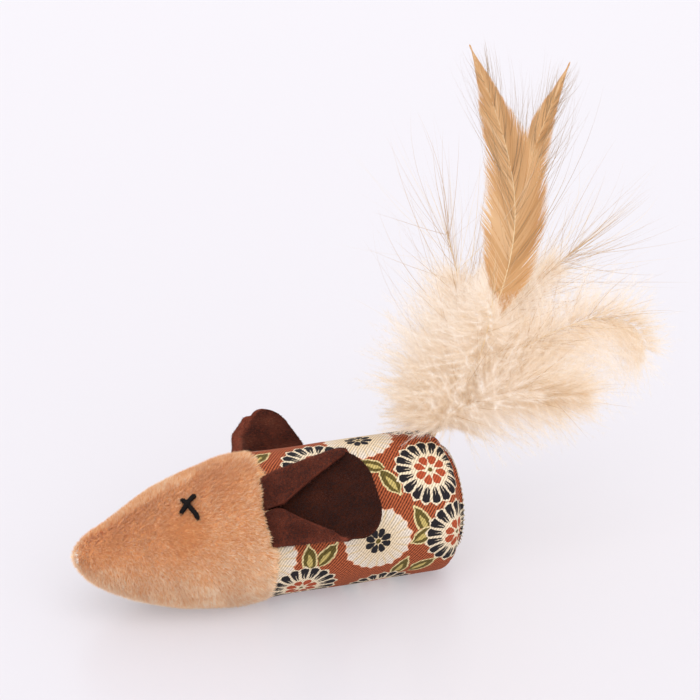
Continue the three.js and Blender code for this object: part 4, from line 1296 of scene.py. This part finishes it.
# A plume of down: its barbs, the tuft at its root, the barbules on both, and long wisps
def growDown(name, seed):
    downy, upLong, downLong, rootAngle, tipAngle, bend, roll, tanned, full, wisps, wispLong = plumes[name]
    dice = np.random.default_rng(seed)
    count = down["barbs"]
    g = dice.random(count) ** 0.95
    up = dice.random(count) < upLong / (upLong + downLong)
    bell = np.clip(0.65 + 0.65 * np.sin(math.pi * g ** 0.8), 0, 1.15) * (1 - 0.4 * g)
    length = np.where(up, upLong, downLong) * bell * dice.uniform(0.3, 1.25, count)
    angle = rootAngle + (tipAngle - rootAngle) * g + dice.normal(0, 12, count)
    turn = np.radians(np.clip(dice.normal(down["awayTurn"].get(name, 0), roll, count), -80, 75))
    length = length * (1 - down["flatter"] * np.sin(turn) ** 2)
    start = -0.07 + (downy + 0.07) * g
    paths = barbPaths(name, start, up, length, angle, bend + dice.normal(0, 16, count), turn, dice)
    bare = featherShapes[name][5] * feathers["tallest"] - 4
    total = flatSpine(name, np.zeros(1))[3]
    count = down["tuftBarbs"] * (name in down["tufted"])
    tuft = tuftPaths(name, -bare / total * dice.random(count), dice)
    g = np.concatenate([g, np.zeros(count)])
    paths = behindVane(np.concatenate([paths, tuft]))
    rested = clearOfBody(paths)
    free = np.linalg.norm(rested - paths, axis=-1).max(axis=1) < down["mostPushed"]
    paths, g = rested[free], g[free]
    across = unit(dice.normal(0, 1, (len(paths), 1, 3))) + 0 * paths
    zone = drift(paths[:, 0], 11, seed) - tanned - 0.5 * np.exp(-g / 0.12)
    tone = np.clip(np.round(2 + zone + dice.normal(0, 0.6, len(paths))), 1, 3).astype(int)
    hairs, flatWay, tones = barbules(paths, int(down["barbules"] * full), dice,
                                     lambda t: downTone(zone, t, dice))
    kept = dice.random(len(hairs)) < np.repeat(np.clip(1.45 - 1.2 * g, 0.2, 1), len(hairs) // len(g))
    sets = [(paths, down["barbWidth"], across, tone),
            (hairs[kept], down["barbuleWidth"], flatWay[kept], tones[kept])]
    g = dice.uniform(0.0, 0.75, wisps)
    up = dice.random(wisps) < 0.5
    length = wispLong * dice.uniform(0.5, 1.1, wisps) * (1.1 - 0.4 * g)
    angle = 46 - 20 * g + dice.normal(0, 14, wisps)
    turn = np.radians(dice.normal(0, 50, wisps))
    paths = barbPaths(name, g, up, length, angle, dice.normal(-14, 14, wisps), turn, dice, 12)
    return sets + [wispSet(paths, dice, lambda: dice.choice([1, 4, 4], wisps))]


# Loose barbs that stand out past a vane
def growWisps(name, seed):
    dice = np.random.default_rng(seed)
    count = feathers["vaneWisps"]
    g = dice.uniform(0.2, 0.9, count)
    up = dice.random(count) < 0.5
    length = ((1 - g) * spine(name, np.zeros(1))[4] * 0.85 + 4) * dice.uniform(0.6, 1.0, count)
    angle = 27 - 6 * g + dice.normal(0, 4, count)
    bend = dice.normal(-24, 6, count)
    paths = barbPaths(name, g, up, length, angle, bend, np.radians(dice.normal(0, 20, count)), dice, 12)
    return [wispSet(paths, dice, lambda: 3)]


# Wisps lie any way round. Their tones are drawn after that
def wispSet(paths, dice, tones):
    across = unit(dice.normal(0, 1, (len(paths), 1, 3))) + 0 * paths
    return paths, feathers["wispWidth"], across, tones()


looks = {  # the tones, the slot, and how far and in what way the quill narrows
    True: (tanTones, "tan_feather", 0.9, 0.55),
    False: (downTones, "cream_down", 0.95, 0.6),
}
for number, name in enumerate(featherShapes):
    vaned = name.startswith("feather")
    tones, slot, narrowing, power = looks[vaned]
    share = np.linspace(0, 1, 50)
    radius = 1 - narrowing * share ** power
    line = np.hstack([inPlace(name, alongLine(featherLine(name), share)), radius[:, None]])
    quill = tubes(f"{name}_quill", [line], feathers["quill"], 2)
    addPiece(quill, [quillHorn], "tail", [name])
    if vaned:
        sets = growVane(name, 100 + number) + growWisps(name, 300 + number)
    else:
        sets = growDown(name, 100 + number)
    sets = [(withinReach(paths), *look) for paths, *look in sets]
    addPiece(hairMesh(f"{name}_barbs", sets), tones, "tail")
print("feathers made")


# Inside: polyester fibre fill in the head and the body, and a muslin pouch of dried catnip behind the neck.
# The fill gives the eye a white, matt mass, the muslin a raw yellowish cloth, and the herb dull green crumbs
filling = {
    "fibre": ["#dedbd2", "#f4f2ec"],
    "muslin": ["#c5b796", "#d9cdb2"],
    "herb": ["#6f7646", "#a39a63"],
    "glue": ["#ddd6c0", "#e8e3d2"],
    "wall": 0.4,
    "gathers": 16,
    "gatherDepth": 0.35,
    "headInset": 1.9,
    "floorGap": 1.9,
    "pouchGap": 0.6,
}


# Fluff, coarse cloth, crumbs or glue, with grains of size millimetres in two tones
def speckled(name, size, hexColours, roughness, depth):
    material, tree, shader = newMaterial(name, hexColours[0], roughness)
    place = addNode(tree, "TexCoord").outputs["Object"]
    grains = addNode(tree, "TexNoise", {"Vector": place, "Scale": 1 / (size * mm), "Detail": 4.0,
                                        "Distortion": 0.8})
    tone = addNode(tree, "ValToRGB", [grains], zip((0.35, 0.65), hexColours))
    finishShader(tree, shader, tone, grains, 0.7, depth)
    return material


# A closed lump turned about the mouse's axis from rows of x and radius, with bumps of the height, size and
# seed given. Where it is gathered, it has folds about the pouch's tie
def turnedLump(name, rows, bump, gathers=0.0, along=40):
    line = smoothLine(rows, 8)
    height, size, seed = bump

    def place(around, share):
        x, radius, angle = turnedAt(line, around, share)
        bumps = height * drift(roundAxis(x, radius, angle), size, seed)
        bumps = bumps + gathers * np.sin(filling["gathers"] * angle) * np.exp(-((x - tieX) / 5) ** 2)
        radius = np.maximum(0, radius + (bumps - height) * np.clip(radius / 2, 0, 1))
        return roundAxis(x, radius, angle, lowest=filling["floorGap"])

    return gridMesh(name, 64, along, place, lambda around, share: (
        share * lineLength(line), around * 2 * math.pi * line[:, 1].max()))


fibre = speckled("polyester fibre fill", 1.2, filling["fibre"], 1.0, 0.6)
muslin = speckled("cotton muslin, open weave", 0.5, filling["muslin"], 0.95, 0.2)
herb = speckled("dried catnip leaf and stalk", 0.9, filling["herb"], 1.0, 0.8)
hotGlue = speckled("hot-melt glue, set clear drop", 3.0, filling["glue"], 0.35, 0.1)
tieLow, tieHigh = boxOf("pouch_tie")
tieX = (tieLow[0] + tieHigh[0]) / 2

low, high = boxOf("head_stuffing")
inner = headLine[headLine[:, 0] < high[0] - 1.2] - (0, filling["headInset"])
inner = inner[(inner[:, 1] > 1) & (inner[:, 0] > low[0] + 1)][::6]
rows = [(low[0] + 0.6, 0), *inner, (high[0] - 0.5, inner[-1][1] - 1), (high[0] - 0.1, 0)]
headFill = turnedLump("head_fibre_fill", rows, (0.35, 5, 81))
piece = addPiece(headFill, [fibre], "mouse", ["head_stuffing"])

low, high = boxOf("body_stuffing")
pouchLow, pouchHigh = boxOf("catnip_pouch")
outer = high[1] - 0.2
bore = pouchHigh[1] + filling["pouchGap"]
pouchEnd = pouchHigh[0]
hollow = [(pouchEnd + filling["pouchGap"], 0), (pouchEnd + 0.4, bore - 4), (pouchEnd - 2, bore),
          (low[0] + 0.7, bore)]
rows = [(low[0] + 0.5, bore), (low[0] + 0.2, outer - 1), (low[0] + 1.2, outer), (low[0] + 20, outer),
        (high[0] - 8, outer), (high[0] - 2.5, outer - 3), (high[0] - 0.2, 8), (high[0], 0)]
bodyFill = turnedLump("body_fibre_fill", hollow + rows, (0.35, 6, 82), along=60)
piece = addPiece(bodyFill, [fibre], "mouse", ["body_stuffing"])

bag = pouchHigh[1] - 0.35
rows = [(pouchLow[0] + 0.2, 3.9), (pouchLow[0] + 2.5, 3.6), (tieX, 2.9), (tieX + 3, 5), (tieX + 8, bag),
        (pouchEnd - 7, bag), (pouchEnd - 2.5, bag - 2.2), (pouchEnd - 0.3, 0)]
pouchMesh = turnedLump("catnip_pouch_muslin", rows, (0.12, 4, 83), filling["gatherDepth"])
pouch = addPiece(pouchMesh, [muslin], "mouse", ["catnip_pouch"], wall=filling["wall"])

low, high = boxOf("dried_catnip")
rows = [(low[0] + 0.3, 0), (low[0] + 1, 2.6), (low[0] + 5, high[1] - 1), (high[0] - 6, high[1] - 0.9),
        (high[0] - 2, high[1] - 2.6), (high[0] - 0.6, 0)]
addPiece(turnedLump("dried_catnip_leaf", rows, (0.5, 1.6, 84)), [herb], "mouse", ["dried_catnip"])
print("filling and pouch made")

# The threads wound round the pouch's neck and round the quills, and the glue that holds the quills
winding = {
    "tieTurns": 3,
    "tieSpread": 0.3,
    "tieStrand": 0.14,
    "bindingTurns": 9,
    "bindingHeight": 2.1,
    "bindingThread": 0.2,
}
tieRadius = (tieHigh[1] - tieLow[1]) / 2 - 0.5
turn = np.linspace(0, 2 * math.pi * winding["tieTurns"], 120)
wound = np.stack([tieX + winding["tieSpread"] * (turn / (math.pi * winding["tieTurns"]) - 1),
                  tieRadius * np.cos(turn), axisHeight + tieRadius * np.sin(turn)], axis=1)
tie = tubes("pouch_tie_thread", twisted(wound, 2, 0.12, 1.2), winding["tieStrand"], 1)
addPiece(tie, [sewingThread], "mouse", ["pouch_tie"])
low, high = boxOf("quill_binding")
middle, half = (low + high) / 2, (high - low) / 2
rise = np.array([tailWay[0], 0, tailWay[1]])
across = np.array([-rise[2], 0, rise[0]])
whole = 2 * math.pi * winding["bindingTurns"]
turn = np.linspace(0, whole, 400)[:, None]
wound = middle + rise * (turn / whole - 0.5) * winding["bindingHeight"] + across * np.sin(turn)
wound = wound + np.array([0, 1.0, 0]) * (half[1] - 0.35) * np.cos(turn)
binding = tubes("quill_binding_thread", [wound], winding["bindingThread"], 1)
addPiece(binding, [sewingThread], "tail", ["quill_binding"])
for slot in frame["nodes"]["quill_glue"].material_slots:
    slot.material = hotGlue
print("threads wound and glue set")
